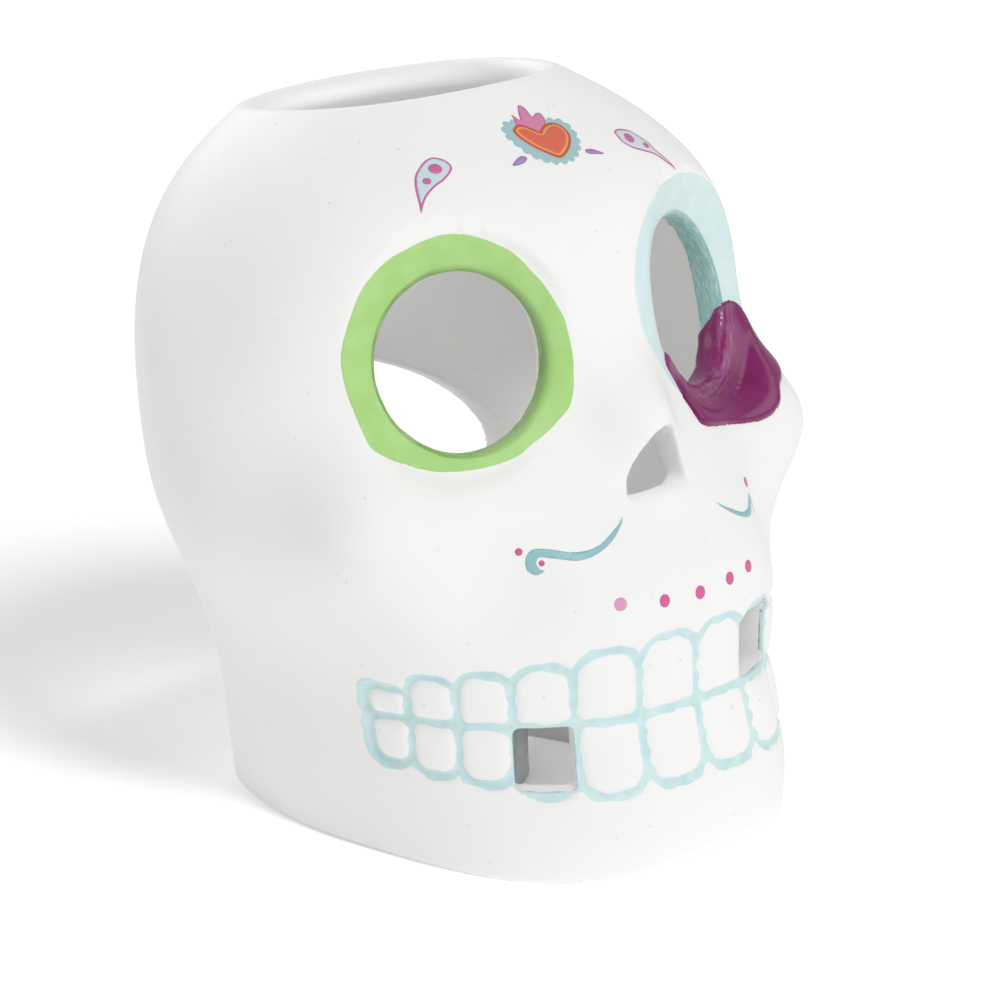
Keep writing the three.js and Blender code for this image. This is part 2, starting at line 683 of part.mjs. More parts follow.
// The origin is under the middle of the whole lantern, on the surface that it stands on
const middle = new THREE.Box3().setFromObject(lantern).getCenter(new THREE.Vector3());
for (const mesh of lantern.children) {
  mesh.geometry.translate(-middle.x, -middle.y, 0);
}

export default lantern;
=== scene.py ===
import json
import math

import bmesh
import bpy
import numpy as np
from mathutils import Matrix, Vector
from mathutils.bvhtree import BVHTree

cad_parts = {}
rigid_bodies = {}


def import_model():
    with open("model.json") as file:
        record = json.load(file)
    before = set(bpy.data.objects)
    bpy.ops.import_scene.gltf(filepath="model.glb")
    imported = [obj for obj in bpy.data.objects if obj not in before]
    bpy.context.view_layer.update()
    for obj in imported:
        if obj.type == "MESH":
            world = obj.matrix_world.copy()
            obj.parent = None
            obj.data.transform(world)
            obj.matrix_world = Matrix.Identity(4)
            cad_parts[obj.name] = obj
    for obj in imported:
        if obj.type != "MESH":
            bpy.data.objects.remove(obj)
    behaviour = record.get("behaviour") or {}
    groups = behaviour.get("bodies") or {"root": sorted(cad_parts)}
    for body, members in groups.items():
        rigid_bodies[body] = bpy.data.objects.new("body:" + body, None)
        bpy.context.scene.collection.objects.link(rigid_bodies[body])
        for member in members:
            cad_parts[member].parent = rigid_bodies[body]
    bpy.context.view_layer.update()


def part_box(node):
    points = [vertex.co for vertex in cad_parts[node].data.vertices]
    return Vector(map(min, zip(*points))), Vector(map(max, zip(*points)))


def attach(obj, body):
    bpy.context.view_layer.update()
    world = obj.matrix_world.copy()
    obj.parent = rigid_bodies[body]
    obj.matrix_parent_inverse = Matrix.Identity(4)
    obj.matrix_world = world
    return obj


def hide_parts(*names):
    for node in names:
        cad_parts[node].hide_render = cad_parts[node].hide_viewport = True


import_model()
mm = 0.001

# The camera stands to the skull's right and front, a little above it
camera = {"turn": 44.0, "rise": 15.2, "roll": -2.3, "distance": 1.0, "target": (0, 0, 0.061), "lens": 185.4}

# The same driving sizes as the solids
skin = {
    "height": 140.0,
    "halfWidth": 66.0,
    "faceReach": 56.0,
    "backReach": 68.0,
    "rimTilt": 0.086,
    "rimMiddle": 26.0,
    "tiltStart": 92.0,
    "wall": 6.0,
    "footRound": 1.2,
}

# Height, half width, face, back, widest place, squareness in front and behind, as shares
stationShares = [
    (0, 0.59, -0.948, 1, 0.018, 3.2, 2.1),
    (0.1, 0.644, -1.002, 0.97, 0.056, 2.8, 2.1),
    (0.214, 0.683, -0.907, 0.955, 0.088, 2.4, 2.1),
    (0.314, 0.774, -0.934, 0.962, 0.106, 2.3, 2.1),
    (0.4, 0.889, -0.939, 0.972, 0.116, 2.2, 2),
    (0.486, 0.967, -0.789, 0.984, 0.149, 2, 2),
    (0.586, 0.998, -0.638, 0.99, 0.193, 1.9, 1.9),
    (0.7, 1, -0.591, 0.981, 0.226, 2.3, 1.9),
    (0.807, 0.924, -0.586, 0.956, 0.269, 2.6, 2),
    (0.893, 0.8, -0.414, 0.903, 0.316, 2.5, 2.1),
    (0.957, 0.662, -0.209, 0.816, 0.353, 2.3, 2.1),
    (1, 0.52, -0.0875, 0.719, 0.387, 2.1, 2.1),
]
lastStation = len(stationShares) - 1
sizes = [skin["height"], skin["halfWidth"], skin["faceReach"], skin["backReach"], skin["backReach"], 1, 1]
stations = np.array(stationShares) * sizes

# Angle from the front, height, how far it spreads in degrees and up and down, and its swell
swellings = [
    (59, 72, 12.6, 13.1, 9.7),
    (0, 84, 10, 10.7, 8.6),
    (39, 57.7, 11.9, 9.4, -4.9),
    (37, 98, 20, 19.2, -6.2),
]

# The solids are centred on their box, so everything made here moves along with them
shift = np.array([0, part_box("skull_shell")[1][1] / mm - skin["backReach"], 0])


def smooth(value, low, high):
    share = np.clip((value - low) / (high - low), 0, 1)
    return share * share * (3 - 2 * share)


def stationAt(place):
    index = np.clip(np.floor(place), 0, lastStation - 1).astype(int)
    u = (place - index)[:, None]
    ends = np.vstack([2 * stations[0] - stations[1], stations, 2 * stations[-1] - stations[-2]])
    weights = [(1 - u) ** 3, 3 * u**3 - 6 * u**2 + 4, -3 * u**3 + 3 * u**2 + 3 * u + 1, u**3]
    return sum(weight * ends[index + k] for k, weight in enumerate(weights)) / 6


# Points of the outer skin for angles from the front and places between the stations
def skinPoint(angle, place):
    height, width, face, back, widest, front, rear = stationAt(place).T
    sine, cosine = np.sin(angle), np.cos(angle)
    power = rear + (front - rear) * smooth(cosine, -0.35, 0.35)
    reach = np.where(cosine > 0, widest - face, back - widest)
    radius = (np.abs(sine / width) ** power + np.abs(cosine / reach) ** power) ** (-1 / power)
    degrees = np.degrees(angle)
    for middle, level, spread, rise, swell in swellings:
        for side in [1] if middle == 0 else [1, -1]:
            turn = (degrees - side * middle + 180) % 360 - 180
            radius = radius + swell * np.exp(-((turn / spread) ** 2) - ((height - level) / rise) ** 2)
    y = widest - radius * cosine
    lean = skin["rimTilt"] * (y - skin["rimMiddle"]) * smooth(height, skin["tiltStart"], skin["height"])
    return np.stack([radius * sine, y, height - lean], axis=1)


# The skin's points with their outward normals and the direction that climbs the skin
def skinFrame(angle, place):
    step = 0.01
    across = skinPoint(angle + step, place) - skinPoint(angle - step, place)
    above = np.minimum(place + step, lastStation)
    below = np.maximum(place - step, 0)
    rise = skinPoint(angle, above) - skinPoint(angle, below)
    rise /= np.linalg.norm(rise, axis=1)[:, None]
    normal = np.cross(across, rise)
    normal /= np.linalg.norm(normal, axis=1)[:, None]
    return skinPoint(angle, place), normal, rise


def linkObject(name, bm, material):
    mesh = bpy.data.meshes.new(name)
    bm.to_mesh(mesh)
    bm.free()
    for polygon in mesh.polygons:
        polygon.use_smooth = True
    obj = bpy.data.objects.new(name, mesh)
    bpy.context.scene.collection.objects.link(obj)
    if material:
        mesh.materials.append(material)
    return obj


def dress(obj, body, nodes):
    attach(obj, body)
    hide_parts(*nodes)


# A grid of faces whose corners go where place(column, row) puts them
def gridMesh(columns, rows, place):
    bm = bmesh.new()
    bmesh.ops.create_grid(bm, x_segments=columns, y_segments=rows, size=0.5)
    corners = np.array([vert.co for vert in bm.verts])
    column = np.rint((corners[:, 0] + 0.5) * columns).astype(int)
    row = np.rint((corners[:, 1] + 0.5) * rows).astype(int)
    points = (place(column, row) + shift) * mm
    for vert, point in zip(bm.verts, points):
        vert.co = point
    bmesh.ops.remove_doubles(bm, verts=bm.verts, dist=0.01 * mm)
    bmesh.ops.dissolve_degenerate(bm, edges=bm.edges, dist=0.002 * mm)
    bmesh.ops.recalc_face_normals(bm, faces=bm.faces)
    return bm


# A closed body from a table of points whose columns run round it and whose rows run along it
def tableBody(name, table, material):
    bm = gridMesh(len(table) - 1, len(table[0]) - 1, lambda column, row: table[column, row])
    bmesh.ops.holes_fill(bm, edges=[edge for edge in bm.edges if edge.is_boundary], sides=0)
    bmesh.ops.recalc_face_normals(bm, faces=bm.faces)
    return linkObject(name, bm, material)


def toLinear(text):
    values = [int(text[i : i + 2], 16) / 255 for i in (1, 3, 5)]
    return tuple(v / 12.92 if v <= 0.04045 else ((v + 0.055) / 1.055) ** 2.4 for v in values) + (1.0,)


def addNode(material, kind, **settings):
    node = material.node_tree.nodes.new(kind)
    for key, value in settings.items():
        setattr(node, key, value)
    return node


# Noise in the piece's own coordinates, its blobs about size across, drawn out by the stretch
def noiseAt(material, size, detail=2.0, stretch=(1, 1, 1)):
    links = material.node_tree.links
    place = addNode(material, "ShaderNodeTexCoord")
    mapping = addNode(material, "ShaderNodeMapping")
    mapping.inputs["Scale"].default_value = tuple(1 / (size * mm * s) for s in stretch)
    noise = addNode(material, "ShaderNodeTexNoise")
    noise.inputs["Scale"].default_value = 1.0
    noise.inputs["Detail"].default_value = detail
    links.new(place.outputs["Object"], mapping.inputs["Vector"])
    links.new(mapping.outputs["Vector"], noise.inputs["Vector"])
    return noise.outputs["Fac"]


def ramp(material, source, stops):
    node = addNode(material, "ShaderNodeValToRGB")
    elements = node.color_ramp.elements
    for element, (position, color) in zip(elements, (stops[0], stops[-1])):
        element.position = position
        element.color = color
    for position, color in stops[1:-1]:
        element = elements.new(position)
        element.color = color
    material.node_tree.links.new(source, node.inputs["Fac"])
    return node.outputs["Color"]


def bumpFrom(material, source, height, below=None):
    links = material.node_tree.links
    bump = addNode(material, "ShaderNodeBump")
    bump.inputs["Strength"].default_value = 1.0
    bump.inputs["Distance"].default_value = height * mm
    links.new(source, bump.inputs["Height"])
    if below:
        links.new(below, bump.inputs["Normal"])
    return bump.outputs["Normal"]


# A number or direction that the mesh carries with it
def carried(material, name, output="Fac"):
    return addNode(material, "ShaderNodeAttribute", attribute_name=name).outputs[output]


def times(material, first, second):
    node = addNode(material, "ShaderNodeMath", operation="MULTIPLY")
    material.node_tree.links.new(first, node.inputs[0])
    material.node_tree.links.new(second, node.inputs[1])
    return node.outputs["Value"]


# Noise drawn out along the brush, in the stroke places that a coat carries
def strokeNoise(material, size, detail=2.0):
    links = material.node_tree.links
    noise = addNode(material, "ShaderNodeTexNoise")
    noise.inputs["Scale"].default_value = 1 / (size * mm)
    noise.inputs["Detail"].default_value = detail
    links.new(carried(material, "stroke", "Vector"), noise.inputs["Vector"])
    return noise.outputs["Fac"]


def mixOver(material, factor, color):
    links = material.node_tree.links
    shader = material.node_tree.nodes["Principled BSDF"]
    mix = addNode(material, "ShaderNodeMix", data_type="RGBA")
    links.new(factor, mix.inputs["Factor"])
    links.new(shader.inputs["Base Color"].links[0].from_socket, mix.inputs["A"])
    mix.inputs["B"].default_value = toLinear(color)
    links.new(mix.outputs["Result"], shader.inputs["Base Color"])


# A body or coat: two tones in soft blobs, a band of roughness and grains of bump (size, height)
def surface(name, tones, toneSize, roughness, grain=(), coat=0.0, metallic=0.0, stretch=(1, 1, 1)):
    material = bpy.data.materials.new(name)
    material.use_nodes = True
    links = material.node_tree.links
    shader = material.node_tree.nodes["Principled BSDF"]
    blobs = noiseAt(material, toneSize, stretch=stretch)
    tone = ramp(material, blobs, [(0.35, toLinear(tones[0])), (0.65, toLinear(tones[1]))])
    links.new(tone, shader.inputs["Base Color"])
    low, high = roughness
    patches = noiseAt(material, toneSize / 3)
    rough = ramp(material, patches, [(0.3, (low,) * 3 + (1,)), (0.7, (high,) * 3 + (1,))])
    links.new(rough, shader.inputs["Roughness"])
    normal = None
    for size, height in grain:
        normal = bumpFrom(material, noiseAt(material, size, 1.0, stretch), height, normal)
    if normal:
        links.new(normal, shader.inputs["Normal"])
    shader.inputs["Coat Weight"].default_value = coat
    shader.inputs["Coat Roughness"].default_value = 0.04
    shader.inputs["Metallic"].default_value = metallic
    return material


# Matte fired white clay: dry and very slightly uneven, with a rare pale speck burnt into it
clay = surface("matte fired clay", ("#F7F7F6", "#F9F9F8"), 24, (0.5, 0.6), ((0.6, 0.006), (7, 0.04)))
specks = ramp(clay, noiseAt(clay, 1.1, 0.0), [(0.85, (0, 0, 0, 1)), (0.87, (1, 1, 1, 1))])
mixOver(clay, specks, "#E9E8E5")


# Paint brushed round a socket: its strokes show as faint streaks. Inside the hole it roughens, and its colour
# is darkened there to shaded tones, in stroke-shaped patches, as painted shade of the hole's wall
def brushedPaint(name, tones, shadedInside, roughness, streak, rough):
    material = surface(name, tones, 5, roughness)
    links = material.node_tree.links
    shader = material.node_tree.nodes["Principled BSDF"]
    inward = carried(material, "inward")
    # Painted shade: the colour darkens inside the hole, then more in stroke-shaped patches
    mixOver(material, inward, shadedInside[0])
    patches = ramp(material, strokeNoise(material, 2.6, 3.0), [(0.42, (0, 0, 0, 1)), (0.62, (1, 1, 1, 1))])
    mixOver(material, times(material, inward, patches), shadedInside[1])
    fine = bumpFrom(material, strokeNoise(material, 1.2), streak)
    coarse = times(material, inward, strokeNoise(material, 1.8, 3.0))
    links.new(bumpFrom(material, coarse, rough, fine), shader.inputs["Normal"])
    return material


# Opaque leaf green, satin, brushed round the right socket; its two darker greens are painted shade inside the
# hole
greenPaint = brushedPaint(
    "brushed green paint", ("#ABD980", "#B3DE8A"), ("#82AE58", "#A3C187"), (0.36, 0.44), 0.06, 0.1
)

# Thin pale aqua wash that the white body lightens; its darker aquas are painted shade inside the left eye's
# hole
aquaPaint = brushedPaint(
    "pale aqua paint", ("#D5ECEA", "#DCF0EF"), ("#92C2BE", "#B0D4D1"), (0.4, 0.5), 0.03, 0.4
)

# Aqua laid in the lines between the teeth, wiped thin
grooveAqua = surface("aqua groove paint", ("#C9E8E8", "#D8F0F0"), 3, (0.4, 0.5), ((0.7, 0.02),))

# Thick fired glaze: deep plum, wet gloss. The paler streaks along the hole's edge are a painted highlight of
# light on the rounded edge, where the glaze also runs thinner
plumGlaze = surface("plum gloss glaze", ("#780C56", "#841963"), 6, (0.2, 0.26), ((1.6, 0.03),), coat=0.2)
plumGlaze.node_tree.nodes["Principled BSDF"].inputs["Specular IOR Level"].default_value = 0.3
plumGlaze.node_tree.nodes["Principled BSDF"].inputs["Coat Roughness"].default_value = 0.12
# Painted highlight: paler plum streaks along the hole's rounded edge
edgeHighlightStops = [(0.4, (0, 0, 0, 1)), (0.7, (0.7, 0.7, 0.7, 1))]
edgeHighlight = ramp(plumGlaze, strokeNoise(plumGlaze, 3.0, 3.0), edgeHighlightStops)
mixOver(plumGlaze, times(plumGlaze, carried(plumGlaze, "onEdge"), edgeHighlight), "#A9789B")


# Fired ceramic transfer: flat printed colour with a slight satin film
def ink(name, text):
    return surface(name, (text, text), 2, (0.35, 0.45))


inks = {
    "teal": ink("teal transfer ink", "#97C5CB"),
    "ground": ink("pale teal transfer ink", "#A5CACC"),
    "coral": ink("coral transfer ink", "#DE6A52"),
    "coralLine": ink("dark coral transfer ink", "#D0533F"),
    "gold": ink("gold transfer ink", "#F0A35E"),
    "pink": ink("pink transfer ink", "#D985AE"),
    "pinkLine": ink("rose transfer ink", "#CE6C9F"),
    "purple": ink("purple transfer ink", "#AF88C6"),
    "purpleLine": ink("dark purple transfer ink", "#9A6FB8"),
    "sky": ink("pale blue transfer ink", "#CDE4E8"),
    "rose": ink("rose dot transfer ink", "#D9609B"),
    "worn": ink("worn rose transfer ink", "#E59FC4"),
}

# Pressed aluminium of the cup, cast paraffin wax and a waxed cotton wick
aluminium = surface(
    "pressed aluminium", ("#C4C6C8", "#D0D2D4"), 4, (0.28, 0.38), ((0.5, 0.01),), metallic=1.0
)
wax = surface("white paraffin wax", ("#F1EEE6", "#F6F3EC"), 6, (0.38, 0.5), ((2.5, 0.05),))
wax.node_tree.nodes["Principled BSDF"].inputs["Subsurface Weight"].default_value = 0.2
wax.node_tree.nodes["Principled BSDF"].inputs["Subsurface Scale"].default_value = 2 * mm
cotton = surface(
    "waxed cotton wick", ("#E6E1D4", "#F0ECE1"), 0.6, (0.6, 0.8), ((0.25, 0.06),), stretch=(1, 1, 0.4)
)

eye = {"hole": 17.0, "spacing": 60.1, "height": 98.0, "inset": 23.0, "turn": 18.0, "lean": 13.5}
socket = {
    "radius": {-1: 22.6, 1: 23.4},
    "depth": 2.3,
    "flare": 1.2,
    "forward": 2.0,
    "aside": 1.6,
    "above": 1.3,
    "turn": 22.4,
    "lean": 10.6,
    "soften": 1.4,
    "insideSoften": 6.0,
    "insideShare": 0.7,
}


def axesOf(side, turn, lean):
    turn, lean = math.radians(turn), math.radians(lean)
    flat = math.cos(lean)
    outward = np.array([side * math.sin(turn) * flat, -math.cos(turn) * flat, math.sin(lean)])
    across = np.cross([0, 0, 1], outward)
    across /= np.linalg.norm(across)
    return across, np.cross(outward, across), outward


# Middle of an eye's hole with its across, above and outward directions; side is -1 right, 1 left
def holeFrame(side):
    origin = np.array([side * eye["spacing"] / 2, -eye["inset"], eye["height"]])
    return (origin, *axesOf(side, eye["turn"], eye["lean"]))


def socketFrame(side):
    across, above, outward = axesOf(side, socket["turn"], socket["lean"])
    origin = holeFrame(side)[0]
    origin = origin + outward * socket["forward"] + across * side * socket["aside"] + above * socket["above"]
    return origin, across, above, outward


# Presses the dished eye sockets into points of the skin, with a rim as soft as blend
def pressSockets(points, blend):
    for side in (-1, 1):
        origin, across, above, outward = socketFrame(side)
        radius = socket["radius"][side]
        slope = socket["depth"] / (radius - eye["hole"])
        local = points - origin
        level = local @ outward
        distance = np.hypot(local @ across, local @ above)
        dish = (distance - radius) * np.where(distance < radius, slope, socket["flare"])
        mixed = np.clip(0.5 + 0.5 * (dish - level) / blend, 0, 1)
        target = dish * (1 - mixed) + level * mixed - blend * mixed * (1 - mixed)
        near = (level > -14) & (distance < radius * 1.6)
        points = points + np.where(near, target - level, 0)[:, None] * outward
    return points


# Six teeth a side from the middle out: outer edge in degrees, gum line above and below the bite
teeth = [
    (14, 14.2, 13.6), (27.3, 13.6, 13.8), (39, 11.8, 13), (50, 10.6, 11.2), (61, 9.4, 10.6), (72, 6.4, 9.4),
]
mouth = {
    "bite": 30.6,
    "groove": 2.1,
    "depth": 0.9,
    "corner": 2.3,
    "place": lastStation * 0.19,
    "crown": 0.55,
    "gumRound": 0.29,
}


# Each tooth: side, index, upper or lower, place, across and outward directions, width, foot, top
def toothCells():
    cells = []
    place = np.array([mouth["place"]])
    axis = stationAt(place)[0][4]
    for side in (-1, 1):
        for index, (edge, upper, lower) in enumerate(teeth):
            inner = 0 if index == 0 else teeth[index - 1][0]
            middle = math.radians(side * (inner + edge) / 2)
            at = skinPoint(np.array([middle]), place)[0]
            outward = np.array([at[0], at[1] - axis, 0])
            reach = np.linalg.norm(outward)
            outward /= reach
            across = np.cross([0, 0, 1], outward)
            width = 2 * reach * math.tan(math.radians(edge - inner) / 2)
            for isUpper in (True, False):
                foot = mouth["bite"] if isUpper else mouth["bite"] - lower
                top = mouth["bite"] + upper if isUpper else mouth["bite"]
                cells.append((side, index, isUpper, at, across, outward, width, foot, top))
    return cells


# Signed distance to an upright rectangle with round corners, negative inside
def blockDistance(x, z, halfWidth, foot, top, corner):
    dx = np.abs(x) - halfWidth + corner
    dz = np.abs(z - (foot + top) / 2) - (top - foot) / 2 + corner
    outside = np.hypot(np.maximum(dx, 0), np.maximum(dz, 0))
    return outside + np.minimum(np.maximum(dx, dz), 0) - corner


# Distance of each point from the nearest tooth's face, negative on a tooth; the gum end is rounder
def toothDistance(points):
    nearest = np.full(len(points), 99.0)
    gap = mouth["groove"] / 2
    for side, index, isUpper, at, across, outward, width, foot, top in toothCells():
        local = points - at
        depth = local @ outward
        isGumEnd = (points[:, 2] > (foot + top) / 2) == isUpper
        corner = np.where(isGumEnd, min(width, top - foot) * mouth["gumRound"], mouth["corner"] - gap)
        distance = blockDistance(local @ across, points[:, 2], width / 2 - gap, foot + gap, top - gap, corner)
        nearest = np.where(np.abs(depth) < 9, np.minimum(nearest, distance), nearest)
    return nearest


def grooveShare(distance):
    width = mouth["groove"]
    return smooth(distance, -0.55, width * 0.4) * (1 - smooth(distance, width * 0.6, width * 1.15))


# Lays the lines between the teeth and gives each tooth a slightly crowned face
def carveTeeth(points, normals):
    distance = toothDistance(points)
    crown = mouth["crown"] * (1 - np.exp(np.minimum(distance + 0.3, 0) / 2.2)) * (distance < 0)
    return points + (crown - mouth["depth"] * grooveShare(distance))[:, None] * normals


casting = {"columns": 380, "footRows": 5, "lipRows": 12, "innerRows": 46}
mouthLevels = np.arange(13.5, 47.6, 0.5)
outerLevels = np.concatenate(
    [
        [0, 0.25, 0.6, 1.2],
        np.linspace(2.5, 13, 8),
        mouthLevels,
        np.arange(48.5, 72, 1.1),
        np.arange(72.5, 125, 0.75),
        np.linspace(126.2, skin["height"], 12),
    ]
)


# Columns stand closer together over the face than round the back
def castingAngle(column):
    turn = np.interp(column / casting["columns"], [0, 0.13, 0.87, 1], [-180, -79, 79, 180])
    return np.radians(turn)


# For each ring of the casting: place, how deep in the wall, lift over the rim, and if it is outside
def castingTables():
    samples = np.linspace(0, lastStation, 800)
    outer = np.interp(outerLevels, stationAt(samples)[:, 0], samples)
    outer[-1] = lastStation
    turns = np.pi * np.arange(1, casting["lipRows"]) / casting["lipRows"]
    inner = np.linspace(lastStation, 0, casting["innerRows"] + 1)
    foot = np.arange(1, casting["footRows"] + 1) / casting["footRows"]
    place = np.concatenate([outer, np.full(len(turns), lastStation), inner, np.zeros(len(foot))])
    depth = np.concatenate([np.zeros(len(outer)), (1 - np.cos(turns)) / 2, np.ones(len(inner)), 1 - foot])
    lift = np.concatenate([np.zeros(len(outer)), np.sin(turns) / 2, np.zeros(len(inner) + len(foot))])
    isOuter = np.arange(len(place)) < len(outer)
    return place, depth, lift, isOuter


def castingSkin():
    place, depth, lift, isOuter = castingTables()

    def at(column, row):
        angle = castingAngle(column)
        points, normals, rises = skinFrame(angle, place[row])
        level = normals.copy()
        level[:, 2] = 0
        level /= np.linalg.norm(level, axis=1)[:, None]
        onFloor = place[row] == 0
        direction = np.where(onFloor[:, None], level, normals)
        edge = np.clip(1 - points[:, 2] / skin["footRound"], 0, 1)
        tuck = skin["footRound"] * (1 - np.sqrt(1 - edge**2)) * (depth[row] == 0)
        sunk = (pressSockets(points, socket["insideSoften"]) - points) * socket["insideShare"]
        moved = points + sunk - direction * (depth[row] * skin["wall"] + tuck)[:, None]
        moved = moved + rises * (lift[row] * skin["wall"])[:, None]
        dressed = carveTeeth(pressSockets(points - direction * tuck[:, None], socket["soften"]), normals)
        return np.where(isOuter[row][:, None], dressed, moved)

    return gridMesh(casting["columns"], len(place) - 1, at)


# A closed cutter: the outline's points carried through the levels along outward
def sweptTool(outline, levels, origin, across, up, outward):
    count = len(outline)
    points = np.array(outline)
    middle = points.mean(axis=0)
    rings = np.concatenate([[levels[0]], levels, [levels[-1]]])

    def at(column, row):
        flat = points[column % count]
        isEnd = (row == 0) | (row == len(rings) - 1)
        flat = np.where(isEnd[:, None], middle, flat)
        return origin + flat[:, :1] * across + flat[:, 1:] * up + rings[row][:, None] * outward

    return gridMesh(count, len(rings) - 1, at)


def oval(halfWidth, halfHeight, count):
    turn = np.linspace(0, 2 * np.pi, count, endpoint=False)
    return np.stack([halfWidth * np.cos(turn), halfHeight * np.sin(turn)], axis=1)


# Points at an even spacing along a closed line through the corners
def evenOutline(corners, spacing):
    points = np.array(list(corners) + [corners[0]], float)
    steps = np.linalg.norm(np.diff(points, axis=0), axis=1)
    along = np.concatenate([[0], np.cumsum(steps)])
    where = np.linspace(0, along[-1], max(int(along[-1] / spacing), 8), endpoint=False)
    return np.stack([np.interp(where, along, points[:, k]) for k in (0, 1)], axis=1)


# Smooth closed line through the corners, with so many points to each
def smoothOutline(corners, perCorner=6):
    points = np.array(corners, float)
    u = np.linspace(0, 1, perCorner, endpoint=False)[:, None]
    spans = []
    for k in range(len(points)):
        a, b, c, d = (points[(k + j) % len(points)] for j in (-1, 0, 1, 2))
        spans.append(b + 0.5 * u * (c - a + u * (2 * a - 5 * b + 4 * c - d + u * (3 * (b - c) + d - a))))
    return np.concatenate(spans)


nose = {"width": 16.4, "height": 12.4, "foot": 70.0}
noseShares = [
    (-1, 0), (-0.5, -0.01), (0, 0), (0.5, 0.01), (1, 0.02), (1, 0.2), (0.96, 0.44), (0.87, 0.67),
    (0.69, 0.86), (0.4, 0.97), (0.08, 1), (-0.2, 0.92), (-0.46, 0.74), (-0.7, 0.5), (-0.89, 0.24),
]
rearHole = {"halfWidth": 42.3, "halfHeight": 21.1, "height": 57.8}


def roundedBlock(width, foot, top, corner):
    corners = []
    for x, z, start in (
        (width / 2, foot, -90), (width / 2, top, 0), (-width / 2, top, 90), (-width / 2, foot, 180),
    ):
        cx = x - math.copysign(corner, x)
        cz = z + corner if z == foot else z - corner
        for k in range(6):
            turn = math.radians(start + 18 * k)
            corners.append((cx + corner * math.cos(turn), cz + corner * math.sin(turn)))
    return corners


# The two teeth that are open windows: side, index and if upper
openTeeth = [(-1, 2, False), (1, 1, True)]


def toothTools():
    tools = []
    gap = mouth["groove"] / 2
    for side, index, isUpper, at, across, outward, width, foot, top in toothCells():
        if (side, index, isUpper) in openTeeth:
            bottom = foot + gap * (0.15 if isUpper else 0.6)
            ceiling = top - gap * (0.6 if isUpper else 0.15)
            block = roundedBlock(width - 0.3 * gap, bottom, ceiling, mouth["corner"] * 0.6)
            origin = np.array([at[0], at[1], 0])
            line = evenOutline(block, 0.6)
            levels = np.arange(-12, 8, 0.7)
            tools.append(sweptTool(line, levels, origin, across, np.array([0, 0, 1]), outward))
    return tools


def openingTools():
    tools = toothTools()
    for side in (-1, 1):
        levels = np.arange(-22, 15, 0.8)
        tools.append(sweptTool(oval(eye["hole"], eye["hole"], 150), levels, *holeFrame(side)))
    outline = evenOutline([(x * nose["width"] / 2, y * nose["height"]) for x, y in noseShares], 0.7)
    forward = (np.array([1, 0, 0]), np.array([0, 0, 1]), np.array([0, -1, 0]))
    tools.append(sweptTool(outline, np.arange(-14, 14, 0.8), np.array([0, -44, nose["foot"]]), *forward))
    rear = (np.array([-1, 0, 0]), np.array([0, 0, 1]), np.array([0, 1, 0]))
    rearOrigin = np.array([0, skin["backReach"], rearHole["height"]])
    line = oval(rearHole["halfWidth"], rearHole["halfHeight"], 190)
    tools.append(sweptTool(line, np.arange(-36, 8, 1.2), rearOrigin, *rear))
    return tools


# Takes the tools from the piece and leaves the result as its mesh
def cutAway(obj, tools):
    for bm in tools:
        tool = linkObject("cutter", bm, None)
        modifier = obj.modifiers.new("cut", "BOOLEAN")
        modifier.object = tool
        modifier.operation = "DIFFERENCE"
        modifier.solver = "MANIFOLD"
    result = bpy.data.meshes.new_from_object(obj.evaluated_get(bpy.context.evaluated_depsgraph_get()))
    for modifier in list(obj.modifiers):
        tool = modifier.object
        obj.modifiers.remove(modifier)
        bpy.data.objects.remove(tool)
    obj.data = result


# Rubs the edges steeper than angle, as a damp sponge leaves them before firing; not the foot's edge
def softenCuts(obj, angle, spread, rounds, isInReach):
    bm = bmesh.new()
    bm.from_mesh(obj.data)
    bmesh.ops.remove_doubles(bm, verts=bm.verts, dist=0.12 * mm)
    bmesh.ops.dissolve_degenerate(bm, edges=bm.edges, dist=0.02 * mm)
    sharp = [edge for edge in bm.edges if edge.is_manifold and edge.calc_face_angle(0) > angle]
    chosen = {vert for edge in sharp for vert in edge.verts if isInReach(vert.co)}
    for _ in range(spread):
        chosen |= {edge.other_vert(vert) for vert in chosen for edge in vert.link_edges}
    chosen = [vert for vert in chosen if isInReach(vert.co)]
    for _ in range(rounds):
        bmesh.ops.smooth_vert(bm, verts=chosen, factor=0.5, use_axis_x=True, use_axis_y=True, use_axis_z=True)
    bm.to_mesh(obj.data)
    bm.free()
    for polygon in obj.data.polygons:
        polygon.use_smooth = True


def isAboveMouth(place):
    return place.z > 3 * mm and (place.z > 54 * mm or place.y > 10 * mm)


def isOnMouth(place):
    return place.z > 3 * mm and not isAboveMouth(place)


body = linkObject("skullCasting", castingSkin(), clay)
cutAway(body, openingTools())
softenCuts(body, math.radians(38), 3, 14, isAboveMouth)
softenCuts(body, math.radians(62), 1, 2, isOnMouth)
body.data.materials.clear()
body.data.materials.append(clay)
dress(body, "skull", ["skull_shell"])
print("casting", sum(len(p.vertices) - 2 for p in body.data.polygons), "triangles")

clayTree = BVHTree.FromPolygons([v.co for v in body.data.vertices], [p.vertices for p in body.data.polygons])


# Where a ray meets the clay, with the clay's normal there; None where it meets nothing
def meetClay(start, direction, reach=60):
    place, normal, _, distance = clayTree.ray_cast(
        Vector((start + shift) * mm), Vector(direction), reach * mm
    )
    if place is None:
        return None
    return np.array(place) / mm - shift, np.array(normal), distance / mm


def nearestClay(point):
    place, normal, _, distance = clayTree.find_nearest(Vector((point + shift) * mm))
    return np.array(place) / mm - shift, np.array(normal), distance / mm


